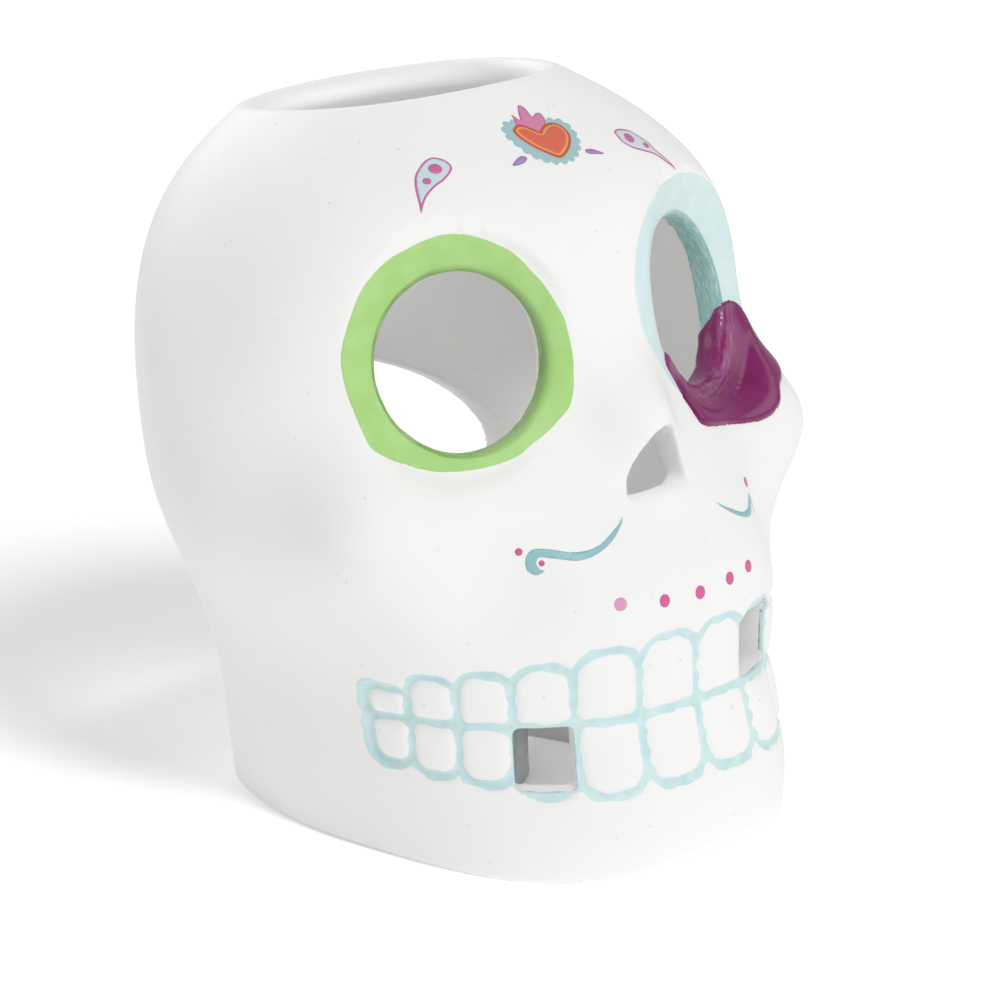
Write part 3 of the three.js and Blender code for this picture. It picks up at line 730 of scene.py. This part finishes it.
# Outer border of the paint in the plane of the hole: turn from across, distance from the middle
borders = {
    -1: [
        (-179, 24.3), (-167, 24.0), (-157, 24.2), (-148, 25.3), (-143, 24.7), (-132, 22.9), (-120, 21.8),
        (-108, 20.7), (-91, 20.1), (-77, 20.2), (-56, 20.3), (-41, 21.4), (-30, 22.4), (-10, 21.6), (4, 21.0),
        (23, 20.6), (45, 20.9), (64, 22.3), (78, 23.1), (91, 23.9), (111, 24.2), (128, 24.8), (140, 25.0),
        (155, 24.7), (171, 24.9),
    ],
    1: [
        (-173, 24.7), (-162, 23.7), (-151, 22.1), (-141, 21.5), (-100, 21.6), (-60, 22.4), (-30, 26.0),
        (-19, 27.6), (-9, 27.6), (0, 27.2), (10, 26.8), (20, 26.4), (31, 26.3), (45, 26.8), (59, 26.0),
        (73, 25.0), (90, 24.4), (105, 24.4), (121, 25.6), (134, 26.8), (145, 27.3), (155, 27.3), (165, 26.5),
        (175, 25.4),
    ],
}
coat = {"bandRows": 22, "wallRows": 14, "lift": 0.12, "tuck": 0.3, "wobble": 0.12, "edge": 0.9}


# Points, normals and flat places of a coat over the socket and on into the hole, column by column.
# The flat place goes on inwards past the hole's edge as far as the coat goes in.
def socketTable(side, turns, outer, wallShare, rows):
    origin, across, above, outward = holeFrame(side)
    points, normals, flats = [], [], []
    for turn, reach in zip(turns, outer):
        ray = across * math.cos(turn) + above * math.sin(turn)
        column = []
        for radius in np.linspace(reach, eye["hole"] + coat["edge"], rows[0]):
            start = origin + ray * radius
            found = meetClay(start + outward * 30, -outward) or nearestClay(start)
            column.append((found[0], found[1], radius))
        walls = []
        for level in np.arange(4, -12, -0.25):
            found = meetClay(origin + outward * level, ray)
            if found and found[2] < eye["hole"] + coat["edge"]:
                walls.append(level)
        front, inner = max(walls), min(walls)
        for level in np.linspace(front, front + (inner - front) * wallShare, rows[1]):
            start = origin + outward * level
            found = meetClay(start, ray) or nearestClay(start + ray * eye["hole"])
            column.append((found[0], found[1], eye["hole"] - (front - level)))
        points.append([place for place, _, _ in column])
        normals.append([normal for _, normal, _ in column])
        flats.append([(radius * math.cos(turn), radius * math.sin(turn)) for _, _, radius in column])
    return np.array(points), evenNormals(np.array(normals)), np.array(flats)


# Evens out the clay's facets, so that a coat's surface flows
def evenNormals(normals):
    for _ in range(4):
        for axis in (0, 1):
            padded = np.concatenate([normals.take([0], axis), normals, normals.take([-1], axis)], axis=axis)
            before = padded.take(range(normals.shape[axis]), axis)
            after = padded.take(range(2, normals.shape[axis] + 2), axis)
            normals = before + 2 * normals + after
            normals = normals / np.linalg.norm(normals, axis=2)[:, :, None]
    return normals


# Closed skin of a coat from its points, normals and lifts above the clay
def coatTable(points, normals, lifts, tuck):
    top = points + normals * lifts[..., None]
    under = points - normals * tuck
    return np.concatenate([top, under[:, ::-1], top[:, :1]], axis=1)


def borderAt(side, turns):
    places = np.array(borders[side])
    smoothTurn = np.degrees(turns)
    reach = np.interp(smoothTurn, places[:, 0], places[:, 1], period=360)
    for _ in range(8):
        reach = (np.roll(reach, 1) + 2 * reach + np.roll(reach, -1)) / 4
    rng = np.random.default_rng(5 + side)
    for waves in (9, 17, 31):
        reach = reach + coat["wobble"] * np.sin(turns * waves + rng.uniform(0, 6.28)) * 5 / waves
    return reach


# Gives a coat the numbers that its paint reads: inside the hole (where painted shade goes), on its edge
# (where the plum's painted highlight goes), and place along the strokes
def markStrokes(obj, side):
    origin, across, above, outward = holeFrame(side)
    local = np.array([v.co for v in obj.data.vertices]) / mm - shift - origin
    level = local @ outward
    turn = np.arctan2(local @ above, local @ across)
    radius = np.hypot(local @ across, local @ above)
    onWall = radius < eye["hole"] + coat["edge"] + 0.1
    inward = smooth(-level, -1.2, 1.4) * onWall
    along = np.where(onWall, eye["hole"] + level, radius)
    onEdge = np.exp(-(((along - eye["hole"] - 0.2) / 2.4) ** 2))
    stroke = np.stack([20 * np.cos(turn), 20 * np.sin(turn), 6 * along], axis=1) * mm
    obj.data.attributes.new("inward", "FLOAT", "POINT").data.foreach_set("value", inward)
    obj.data.attributes.new("onEdge", "FLOAT", "POINT").data.foreach_set("value", onEdge)
    obj.data.attributes.new("stroke", "FLOAT_VECTOR", "POINT").data.foreach_set("vector", stroke.ravel())


def socketPaint(side, name, paint, wallShare, node):
    turns = np.linspace(-np.pi, np.pi, 320, endpoint=False)
    rows = (coat["bandRows"], coat["wallRows"])
    points, normals, _ = socketTable(side, turns, borderAt(side, turns), wallShare, rows)
    lifts = np.full(points.shape[:2], coat["lift"])
    lifts[:, 0] = -coat["tuck"] / 2
    lifts[:, -1] = -coat["tuck"] / 2
    table = coatTable(points, normals, lifts, coat["tuck"])
    obj = tableBody(name, np.concatenate([table, table[:1]]), paint)
    markStrokes(obj, side)
    dress(obj, "skull", [node])
    print(name, len(obj.data.polygons), "faces")


socketPaint(-1, "greenSocketPaint", greenPaint, 0.8, "green_socket_paint")
socketPaint(1, "aquaSocketPaint", aquaPaint, 1.0, "aqua_socket_paint")


# Signed distance of flat points from a closed line, negative inside
def lineDistance(points, corners):
    a = np.array(corners)
    b = np.roll(a, -1, axis=0)
    nearest = np.full(len(points), 1e9)
    inside = np.zeros(len(points), bool)
    for p, q in zip(a, b):
        side = q - p
        along = np.clip(((points - p) @ side) / (side @ side), 0, 1)
        nearest = np.minimum(nearest, np.linalg.norm(points - p - along[:, None] * side, axis=1))
        spans = (p[1] > points[:, 1]) != (q[1] > points[:, 1])
        cross = p[0] + (points[:, 1] - p[1]) * side[0] / (side[1] if side[1] else 1e-9)
        inside ^= spans & (points[:, 0] < cross)
    return np.where(inside, -nearest, nearest)


# Run of plum glaze below the left eye, in flat places: over the band, the cheek and into the hole
glaze = {"thickness": 0.8, "edge": 0.8, "columns": 230, "rows": (46, 14), "tuck": 0.35}
glazeLine = [
    (-17.5, -7.6), (-15.4, -12.8), (-13.4, -19), (-12.2, -22.2), (-8, -23.6), (-2, -24.7), (4, -26),
    (9, -26.8), (13.5, -26.6), (17, -25.4), (18.8, -23.8), (20.2, -22.6), (24, -21.2), (27, -19.6),
    (27.4, -17.4), (26.4, -15), (25.6, -12.6), (25, -9.6), (23.4, -6.8), (21.2, -4.7), (19.2, -3.9),
    (17.2, -4.1), (15.4, -4.4), (14, -5.4), (12.5, -5.8), (10.9, -6.1), (7, -5.4), (0, -9), (-8.7, -5),
]
# How far out the glaze's skin is laid before the line cuts it, by the turn round the hole
glazeReach = [
    (-200, 19), (-178, 20), (-157, 21), (-135, 25), (-120, 27), (-100, 27), (-81, 28), (-63, 32), (-48, 33),
    (-36, 35.4), (-28, 32), (-20, 28), (-12, 23), (0, 20), (12, 19),
]


def plumRun():
    degrees = np.linspace(-195, 8, glaze["columns"])
    outer = np.interp(degrees, *np.array(glazeReach).T)
    points, normals, flats = socketTable(1, np.radians(degrees), outer, 1.0, glaze["rows"])
    line = smoothOutline(glazeLine, 4)
    distance = lineDistance(flats.reshape(-1, 2), line).reshape(flats.shape[:2])
    inside = np.clip(-distance, 0, None)
    swell = glaze["thickness"] * np.sqrt(1 - np.exp(-inside / glaze["edge"]))
    lifts = np.where(distance < 0, coat["lift"] + 0.02 + swell, -0.1 - 0.2 * np.clip(distance, 0, 1))
    obj = tableBody("plumSocketGlaze", coatTable(points, normals, lifts, glaze["tuck"]), plumGlaze)
    markStrokes(obj, 1)
    dress(obj, "skull", ["plum_socket_glaze"])
    print("plum glaze", len(obj.data.polygons), "faces")


plumRun()

groove = {
    "lift": 0.1,
    "tuck": 0.45,
    "back": 0.35,
    "inner": 0.2,
    "reach": 2.0,
    "endReach": 2.9,
    "wobble": 0.13,
}


# Paint in the lines between the teeth: a skin that follows the lines and dips under the clay beside them
def groovePaint():
    columns = np.arange(math.ceil(casting["columns"] * 0.13), math.floor(casting["columns"] * 0.87) + 1)
    samples = np.linspace(0, lastStation, 800)
    places = np.interp(mouthLevels, stationAt(samples)[:, 0], samples)
    angles, levels = np.meshgrid(castingAngle(columns), places, indexing="ij")
    points, normals, _ = skinFrame(angles.ravel(), levels.ravel())
    distance = toothDistance(points)
    waver = np.sin(points[:, 0] * 1.3 + 2 * np.sin(points[:, 2] * 0.8))
    waver = waver + np.sin(points[:, 2] * 1.7 + points[:, 1])
    distance = distance + groove["wobble"] * waver
    ends = smooth(np.degrees(np.abs(angles.ravel())), 62, 69)
    reach = groove["reach"] + (groove["endReach"] - groove["reach"]) * ends
    band = np.minimum(distance - groove["inner"], reach - distance).reshape(angles.shape)
    points = carveTeeth(points, normals).reshape(*angles.shape, 3)
    normals = normals.reshape(*angles.shape, 3)
    lifts = np.clip(band * 0.4, -groove["tuck"], groove["lift"])
    lifts[:, [0, -1]] = -groove["tuck"]
    lifts[[0, -1]] = -groove["tuck"]
    table = coatTable(points, normals, lifts, groove["tuck"] + groove["back"])
    obj = tableBody("toothLinePaint", table, grooveAqua)
    cutAway(obj, toothTools())
    for polygon in obj.data.polygons:
        polygon.use_smooth = True
    obj.data.materials.clear()
    obj.data.materials.append(grooveAqua)
    dress(obj, "skull", ["tooth_line_paint"])
    print("tooth line paint", len(obj.data.polygons), "faces")


groovePaint()


# Place of the skin at an angle and a height, with the across, up and outward directions there
def skinPlace(angle, height):
    turn = np.full(1, math.radians(angle))
    low, high = 0.0, float(lastStation)
    for _ in range(40):
        middle = (low + high) / 2
        if skinPoint(turn, np.full(1, middle))[0][2] < height:
            low = middle
        else:
            high = middle
    point, normal, _ = skinFrame(turn, np.full(1, middle))
    across = np.cross([0, 0, 1], normal[0])
    across /= np.linalg.norm(across)
    return point[0], across, np.cross(normal[0], across), normal[0]


# The line drawn in by a margin, leaving out what would cross itself
def drawnIn(line, margin):
    along = np.roll(line, -1, axis=0) - np.roll(line, 1, axis=0)
    along /= np.linalg.norm(along, axis=1)[:, None]
    normal = np.stack([-along[:, 1], along[:, 0]], axis=1)
    turning = np.sum(line[:, 0] * np.roll(line[:, 1], -1) - line[:, 1] * np.roll(line[:, 0], -1))
    moved = line + normal * margin * np.sign(turning)
    return moved[lineDistance(moved, line) < -0.9 * margin]


# The line with so many round lobes set along it, each reaching out by so much
def scalloped(line, lobes, reach):
    line = evenOutline(line, 0.22)
    along = np.roll(line, -1, axis=0) - np.roll(line, 1, axis=0)
    along /= np.linalg.norm(along, axis=1)[:, None]
    turning = np.sum(line[:, 0] * np.roll(line[:, 1], -1) - line[:, 1] * np.roll(line[:, 0], -1))
    outside = np.stack([along[:, 1], -along[:, 0]], axis=1) * np.sign(turning)
    wave = np.abs(np.sin(np.pi * lobes * np.arange(len(line)) / len(line))) - 0.5
    return line + outside * wave[:, None] * reach


transferFilm = {"first": 0.05, "step": 0.03, "cell": 0.8, "tuck": 0.1}


# One printed colour: a flat filled line laid on the clay at its own height in the stack
def printLayer(line, place, lift):
    origin, across, up, outward = place
    bm = bmesh.new()
    made = bmesh.ops.create_circle(bm, cap_ends=True, segments=len(line), radius=1)
    for vert, (x, y) in zip(made["verts"], line):
        vert.co = (x, y, 0)
    bmesh.ops.triangulate(bm, faces=bm.faces)
    low, high = np.floor(line.min(axis=0)), np.ceil(line.max(axis=0))
    for axis, normal in ((0, (1, 0, 0)), (1, (0, 1, 0))):
        for level in np.arange(low[axis], high[axis], transferFilm["cell"]):
            cut = [level * n for n in normal]
            geom = bm.verts[:] + bm.edges[:] + bm.faces[:]
            bmesh.ops.bisect_plane(bm, geom=geom, dist=1e-4, plane_co=cut, plane_no=normal)
    found = {}
    for vert in bm.verts:
        start = origin + across * vert.co.x + up * vert.co.y
        met, clayNormal, _ = meetClay(start + outward * 12, -outward) or nearestClay(start)
        foot = Vector((met + shift - clayNormal * transferFilm["tuck"]) * mm)
        found[foot.to_tuple(7)] = Vector(clayNormal) * (transferFilm["tuck"] + lift) * mm
        vert.co = foot
    raised = bmesh.ops.extrude_face_region(bm, geom=bm.faces[:], use_keep_orig=True)
    for vert in raised["geom"]:
        if isinstance(vert, bmesh.types.BMVert):
            vert.co += found[vert.co.to_tuple(7)]
    bmesh.ops.recalc_face_normals(bm, faces=bm.faces)
    return bm


# A whole transfer of several printed colours, from the lowest up
def transfer(name, node, angle, height, layers):
    place = skinPlace(angle, height)
    whole = bmesh.new()
    colours = []
    for index, (line, colour) in enumerate(layers):
        layer = printLayer(np.array(line), place, transferFilm["first"] + transferFilm["step"] * index)
        part = bpy.data.meshes.new("layer")
        layer.to_mesh(part)
        layer.free()
        before = len(whole.faces)
        whole.from_mesh(part)
        bpy.data.meshes.remove(part)
        if colour not in colours:
            colours.append(colour)
        whole.faces.ensure_lookup_table()
        for face in whole.faces[before:]:
            face.material_index = colours.index(colour)
    obj = linkObject(name, whole, None)
    for colour in colours:
        obj.data.materials.append(inks[colour])
    dress(obj, "skull", [node])
    return obj


scrollLine = [
    (10.5, 5.8), (9.4, 4.5), (7.3, 2.7), (4.8, 0.9), (2.6, 0.1), (0.2, -0.1), (-2.1, 0.2), (-4.6, 1),
    (-6.8, 1.5), (-8.3, 1.6), (-9.3, 0.9), (-9.8, -0.2), (-9.7, -1.7), (-8.9, -2.7), (-7.9, -3.1),
    (-6.6, -2.6), (-7.4, -2.1), (-7.9, -1.1), (-7.7, -0.4), (-7, 0), (-5.2, -0.5), (-3.4, -1),
    (-0.5, -1.7), (1.9, -1.5), (4, -0.8), (6.4, 0.6), (8.4, 2.4), (10, 4.5),
]
narrowed = np.array(scrollLine) * (-0.82, 0.86) + (-1.6, 0.2)  # the left one, which wraps round the muzzle
for name, corners, angle, height in (("right", scrollLine, -23.1, 63.2), ("left", narrowed, 25.2, 61.4)):
    layers = [(smoothOutline(corners, 4), "teal")]
    transfer(f"{name}Scroll", f"scroll_transfer_{name}", angle, height, layers)

paisleyLines = {
    "right": [
        (1.3, 3), (2.7, 2.4), (3.7, 1.3), (3.9, 0), (3.1, -1.2), (1.5, -2.7), (-0.2, -3.7), (-1.6, -4.8),
        (-2.9, -6.1), (-3.9, -7.7), (-4.7, -9.2), (-4.6, -7.1), (-4.5, -4.6), (-4.2, -2.6), (-3.6, -0.8),
        (-2.6, 0.6), (-1.3, 2), (0.1, 2.9),
    ],
    "left": [
        (-1.4, 4.6), (1.2, 3.6), (2.8, 1.7), (4, -0.4), (4.3, -2.7), (5.6, -5.1), (6.6, -7.6), (4.3, -5.3),
        (2.5, -3.3), (-0.5, -1.6), (-2.8, -0.2), (-4.1, 1.7), (-3.9, 3.5), (-3.3, 4.5),
    ],
}
paisleys = {
    "right": {"angle": -36.6, "height": 132.3, "dots": [(0.6, 0.2, 1.35, 1.2), (-1.8, -2.5, 0.85, 0.75)]},
    "left": {"angle": 30.9, "height": 129.4, "dots": [(-1, 1.9, 1.35, 1.2), (2.2, -0.9, 0.8, 0.7)]},
}
for name, spec in paisleys.items():
    line = smoothOutline(paisleyLines[name], 4)
    layers = [(line, "pinkLine"), (drawnIn(line, 0.42), "sky")]
    layers += [(oval(a, b, 24) + (x, y), "pinkLine") for x, y, a, b in spec["dots"]]
    transfer(f"{name}Paisley", f"paisley_transfer_{name}", spec["angle"], spec["height"], layers)

# The flaming heart: scalloped ground, flame, then the heart with its dark edge and gold line
groundLine = [
    (-6.5, 4.3), (-7.5, 1.9), (-6.8, -1.2), (-5.4, -4.2), (-2.9, -6.3), (0, -7.2), (3, -7), (5.6, -5.7),
    (7.6, -3.6), (8.6, -0.9), (8.2, 1.9), (6, 3.2), (0, 4), (-4, 4.9),
]
flameLine = [
    (-3.5, 3.7), (-2.9, 5), (-2.7, 6.3), (-2.2, 5.4), (-1.7, 4.6), (-0.6, 6.6), (0.5, 8), (1.4, 7.5),
    (1.6, 6.4), (1.5, 5.3), (1.8, 4.7), (2.8, 5.3), (3.9, 5.3), (4.2, 4.7), (4, 3.4), (2.8, 2), (0.9, 1),
    (-0.7, 1.8), (-2, 3),
]
heartLine = [
    (-4.8, 3), (-3.6, 3.5), (-1.9, 3.1), (-0.8, 1.9), (0.2, 0.9), (0.5, 0.9), (2, 1.9), (4, 2.4), (5.8, 2),
    (6.8, 0.6), (6.7, -1.5), (4.9, -3.8), (2.5, -5.4), (0.4, -6), (-1.3, -4.8), (-3.1, -3), (-4.5, -0.9),
    (-5.2, 0.9), (-5.3, 2.3),
]
heart = smoothOutline(heartLine, 4)
flame = smoothOutline(flameLine, 3)
heartLayers = [(scalloped(smoothOutline(groundLine, 12), 21, 0.75), "ground")]
heartLayers += [(flame, "pinkLine"), (drawnIn(flame, 0.22), "pink")]
heartLayers += [(heart, "coralLine"), (drawnIn(heart, 0.55), "gold"), (drawnIn(heart, 1.05), "coral")]
transfer("flamingHeart", "heart_transfer", 0, 134.7, heartLayers)

dropLines = {
    "right": [(-11.1, -4.9), (-9.2, -3.8), (-7.7, -3.5), (-6.9, -4.2), (-8, -5), (-9.7, -5.2)],
    "left": [(7.7, -5.4), (9.3, -5.4), (10.7, -6.1), (11.8, -6.9), (9.9, -6.8), (7.8, -6.3)],
}
for name, corners in dropLines.items():
    line = smoothOutline(corners, 5)
    layers = [(line, "purpleLine"), (drawnIn(line, 0.16), "purple")]
    transfer(f"{name}Drop", f"drop_transfer_{name}", 0, 134.7, layers)

# Round rose dots over the teeth, in each scroll's curl and beside it: angle, height and half sizes
dots = [
    ("lipDot1", "lip_dot_1", -17.3, 53.1, 1.35, 1.25),
    ("lipDot2", "lip_dot_2", -7.9, 51.9, 1.2, 1.25),
    ("lipDot3", "lip_dot_3", 0.9, 51.5, 1.3, 1.3),
    ("lipDot4", "lip_dot_4", 9.4, 52.1, 1.2, 1.25),
    ("lipDot5", "lip_dot_5", 15.9, 52.7, 1.2, 1.2),
    ("rightCheekDot", "cheek_dot_right", -34.1, 64, 0.72, 0.72),
    ("leftCheekDot", "cheek_dot_left", 30.9, 64.7, 1.3, 1.0),
    ("rightCurlDot", "curl_dot_right", -30.2, 61.7, 0.56, 0.56),
    ("leftCurlDot", "curl_dot_left", 30.6, 60.1, 0.45, 0.4),
]
for name, node, angle, height, halfWidth, halfHeight in dots:
    colour = "worn" if name == "lipDot1" else "rose"
    transfer(name, node, angle, height, [(oval(halfWidth, halfHeight, 32), colour)])
print("transfers done")

# Tea light under the middle of the top opening; profiles are distance from its axis and height
tealight = {
    "radius": 19.0,
    "height": 14.0,
    "wall": 0.5,
    "wax": 11.5,
    "wick": 18.5,
    "flutes": 44,
    "flute": 0.16,
}
candle = np.append((stations[-1][2] + stations[-1][3]) / 2, 0)


# A profile turned once round the candle's axis; reachAt moves its points in or out
def revolved(name, profile, columns, material, reachAt=None):
    table = []
    for turn in np.linspace(0, 2 * np.pi, columns + 1):
        row = []
        for radius, level in profile:
            reach = radius + (reachAt(turn, radius, level) if reachAt else 0)
            row.append((reach * math.cos(turn), candle[0] + reach * math.sin(turn), level))
        table.append(row)
    table[-1] = table[0]
    return tableBody(name, np.array(table), material)


# Fine upright flutes pressed into the side of the cup
def flutes(turn, radius, level):
    if radius < tealight["radius"] - 0.4 or level < 1.5 or level > tealight["height"] - 1.5:
        return 0
    return -tealight["flute"] * (1 - math.cos(turn * tealight["flutes"])) / 2


radius, wall, height = tealight["radius"], tealight["wall"], tealight["height"]
hollow = radius - wall
cupProfile = [
    (0, 0.4), (radius - 4, 0.4), (radius - 3, 0), (radius - 0.6, 0), (radius - 0.15, 0.3), (radius, 0.8),
    (radius, 1.6), (radius, height - 1.6), (radius, height - 0.8), (radius + 0.02, height - 0.3),
    (radius - 0.2, height), (radius - 0.42, height - 0.3), (hollow, height - 0.8), (hollow, 0.9),
    (hollow - 0.4, wall), (radius - 4, wall + 0.3), (0, wall + 0.3),
]
cup = revolved("tealightCup", cupProfile, 264, aluminium, flutes)
dress(cup, "tea_light", ["tealight_cup"])

level = tealight["wax"]
waxProfile = [
    (1.1, 1.2), (6.4, 1.3), (radius - 1.2, 1), (radius - 0.85, 1.6), (radius - 0.85, level + 0.25),
    (radius - 1.1, level + 0.1), (radius - 2.4, level - 0.15), (12, level - 0.3), (6, level - 0.4),
    (2.6, level - 0.3), (1.1, level + 0.1), (1.1, 1.2),
]
waxBody = revolved("tealightWax", waxProfile, 96, wax)
dress(waxBody, "tea_light", ["tealight_wax"])

tabProfile = [(0, 0.85), (5.8, 0.85), (6, 1), (5.8, 1.15), (1.3, 1.2), (1.25, 3.4), (1, 3.5), (1, 1), (0, 1)]
tab = revolved("wickTab", tabProfile, 48, aluminium)
dress(tab, "tea_light", ["wick_tab"])

top = tealight["wick"]
wickProfile = [(0, 1.4), (0.7, 1.5), (0.8, 2), (0.78, 11), (0.85, 13), (0.8, top - 0.8), (0.55, top - 0.1)]
wickProfile.append((0, top))


# Plaited strands: low ridges that wind up the wick
def strands(turn, radius, level):
    return 0.05 * math.sin(6 * turn + level) * (radius > 0)


wick = revolved("tealightWick", wickProfile, 24, cotton, strands)
dress(wick, "tea_light", ["tealight_wick"])
print("tea light done")

turn = math.radians(camera["turn"])
rise = math.radians(camera["rise"])
roll = math.radians(camera["roll"])
backward = Vector((-math.sin(turn) * math.cos(rise), -math.cos(turn) * math.cos(rise), math.sin(rise)))
rightward = Vector((math.cos(turn), -math.sin(turn), 0))
upward = backward.cross(rightward)
rolledRight = rightward * math.cos(roll) + upward * math.sin(roll)
rolledUp = upward * math.cos(roll) - rightward * math.sin(roll)
target = Vector(camera["target"]) + Vector(shift * mm)
lens = bpy.data.cameras.new("camera")
lens.lens = camera["lens"]
lens.sensor_width = 36
lens.clip_end = 20
viewer = bpy.data.objects.new("camera", lens)
spot = target + backward * camera["distance"]
axes = Matrix((rolledRight, rolledUp, backward)).transposed().to_4x4()
viewer.matrix_world = Matrix.Translation(spot) @ axes
bpy.context.scene.collection.objects.link(viewer)
bpy.context.scene.camera = viewer

# White studio floor, whose own glow stands in for the light that a floor throws back. Seen by the
# camera it is brighter, so that it meets the white backdrop and keeps its shadow. Reaches in metres.
floorLook = {
    "tone": "#F4F4F4",
    "seen": 1.53,
    "bounce": 0.31,
    "insideBounce": 0.12,
    "insideReach": (0.035, 0.055),
    "whiteReach": (0.32, 0.8),
}
floorPaint = surface("white studio floor", (floorLook["tone"],) * 2, 300, (0.85, 0.9))
floorBm = bmesh.new()
bmesh.ops.create_grid(floorBm, x_segments=1, y_segments=1, size=3)
bmesh.ops.translate(floorBm, vec=(0, 0, -0.1 * mm), verts=floorBm.verts)

# The object's own pieces and the floor, for the lights that leave one of them out
pieces = bpy.data.collections.new("pieces")
for obj in bpy.context.scene.collection.all_objects:
    if obj.type == "MESH":
        pieces.objects.link(obj)
floor = linkObject("floor", floorBm, floorPaint)
ground = bpy.data.collections.new("ground")
ground.objects.link(floor)


# Lamps: place and size in metres, power in watts; the aim is a point inside the skull
studio = {
    "key": ((-0.62, -2.15, 1.95), 0.8, 21.0),
    "floor key": ((-0.62, -2.15, 1.95), 0.8, 17.5),
    "right": ((1.05, -0.7, 0.7), 0.8, 2.1),
    "top": ((-0.35, -0.45, 1.3), 0.7, 2.6),
    "rear": ((0.1, 1.0, 0.75), 0.8, 5.5),
    "opening": ((0.002, 0.017, 0.143), 0.03, 0.0044),  # comes in by the top opening only
}
aim = Vector((0, 0, 0.07))
ambientStrength = 0.41


def areaLight(name, receivers=None):
    place, size, power = studio[name]
    data = bpy.data.lights.new(name, "AREA")
    data.shape = "DISK"
    data.size = size
    data.energy = power
    light = bpy.data.objects.new(name, data)
    light.visible_camera = False
    light.location = place
    light.rotation_euler = (aim - Vector(place)).to_track_quat("-Z", "Y").to_euler()
    bpy.context.scene.collection.objects.link(light)
    if receivers:
        light.light_linking.receiver_collection = receivers


areaLight("key")
areaLight("floor key", ground)
areaLight("right")
for name in ("top", "rear", "opening"):
    areaLight(name, pieces)

world = bpy.data.worlds.new("studio")
bpy.context.scene.world = world
world.use_nodes = True
nodes, links = world.node_tree.nodes, world.node_tree.links
ambient = nodes["Background"]
ambient.inputs["Strength"].default_value = ambientStrength
ambient.inputs["Color"].default_value = (1, 1, 1, 1)
seen = nodes.new("ShaderNodeBackground")
seen.inputs["Color"].default_value = (1, 1, 1, 1)
path = nodes.new("ShaderNodeLightPath")
mixer = nodes.new("ShaderNodeMixShader")
links.new(path.outputs["Is Camera Ray"], mixer.inputs[0])
links.new(ambient.outputs[0], mixer.inputs[1])
links.new(seen.outputs[0], mixer.inputs[2])
links.new(mixer.outputs[0], nodes["World Output"].inputs["Surface"])


# A number that goes from one value to another with the distance from the object
def ringed(material, between, nearValue, farValue):
    reach = addNode(material, "ShaderNodeVectorMath", operation="LENGTH")
    places = addNode(material, "ShaderNodeTexCoord").outputs["Object"]
    material.node_tree.links.new(places, reach.inputs[0])
    span = addNode(material, "ShaderNodeMapRange")
    for name, value in zip(("From Min", "From Max", "To Min", "To Max"), (*between, nearValue, farValue)):
        span.inputs[name].default_value = value
    material.node_tree.links.new(reach.outputs["Value"], span.inputs["Value"])
    return span.outputs["Result"]


floorLinks = floorPaint.node_tree.links
floorShader = floorPaint.node_tree.nodes["Principled BSDF"]
floorShader.inputs["Specular IOR Level"].default_value = 0
floorShader.inputs["Emission Color"].default_value = (1, 1, 1, 1)
seenDirectly = addNode(floorPaint, "ShaderNodeLightPath").outputs["Is Camera Ray"]
mixOver(floorPaint, seenDirectly, "#FFFFFF")
seenTone = floorShader.inputs["Base Color"].links[0].from_node.inputs["B"]
seenTone.default_value = (floorLook["seen"],) * 3 + (1,)
# The object gets the floor's bounce, less of it from inside the foot; the camera sees plain white far off
bounce = ringed(floorPaint, floorLook["insideReach"], floorLook["insideBounce"], floorLook["bounce"])
glow = addNode(floorPaint, "ShaderNodeMix", data_type="FLOAT")
floorLinks.new(seenDirectly, glow.inputs["Factor"])
floorLinks.new(bounce, glow.inputs["A"])
floorLinks.new(ringed(floorPaint, floorLook["whiteReach"], 0, 1), glow.inputs["B"])
floorLinks.new(glow.outputs["Result"], floorShader.inputs["Emission Strength"])

bpy.context.scene.view_settings.view_transform = "Standard"
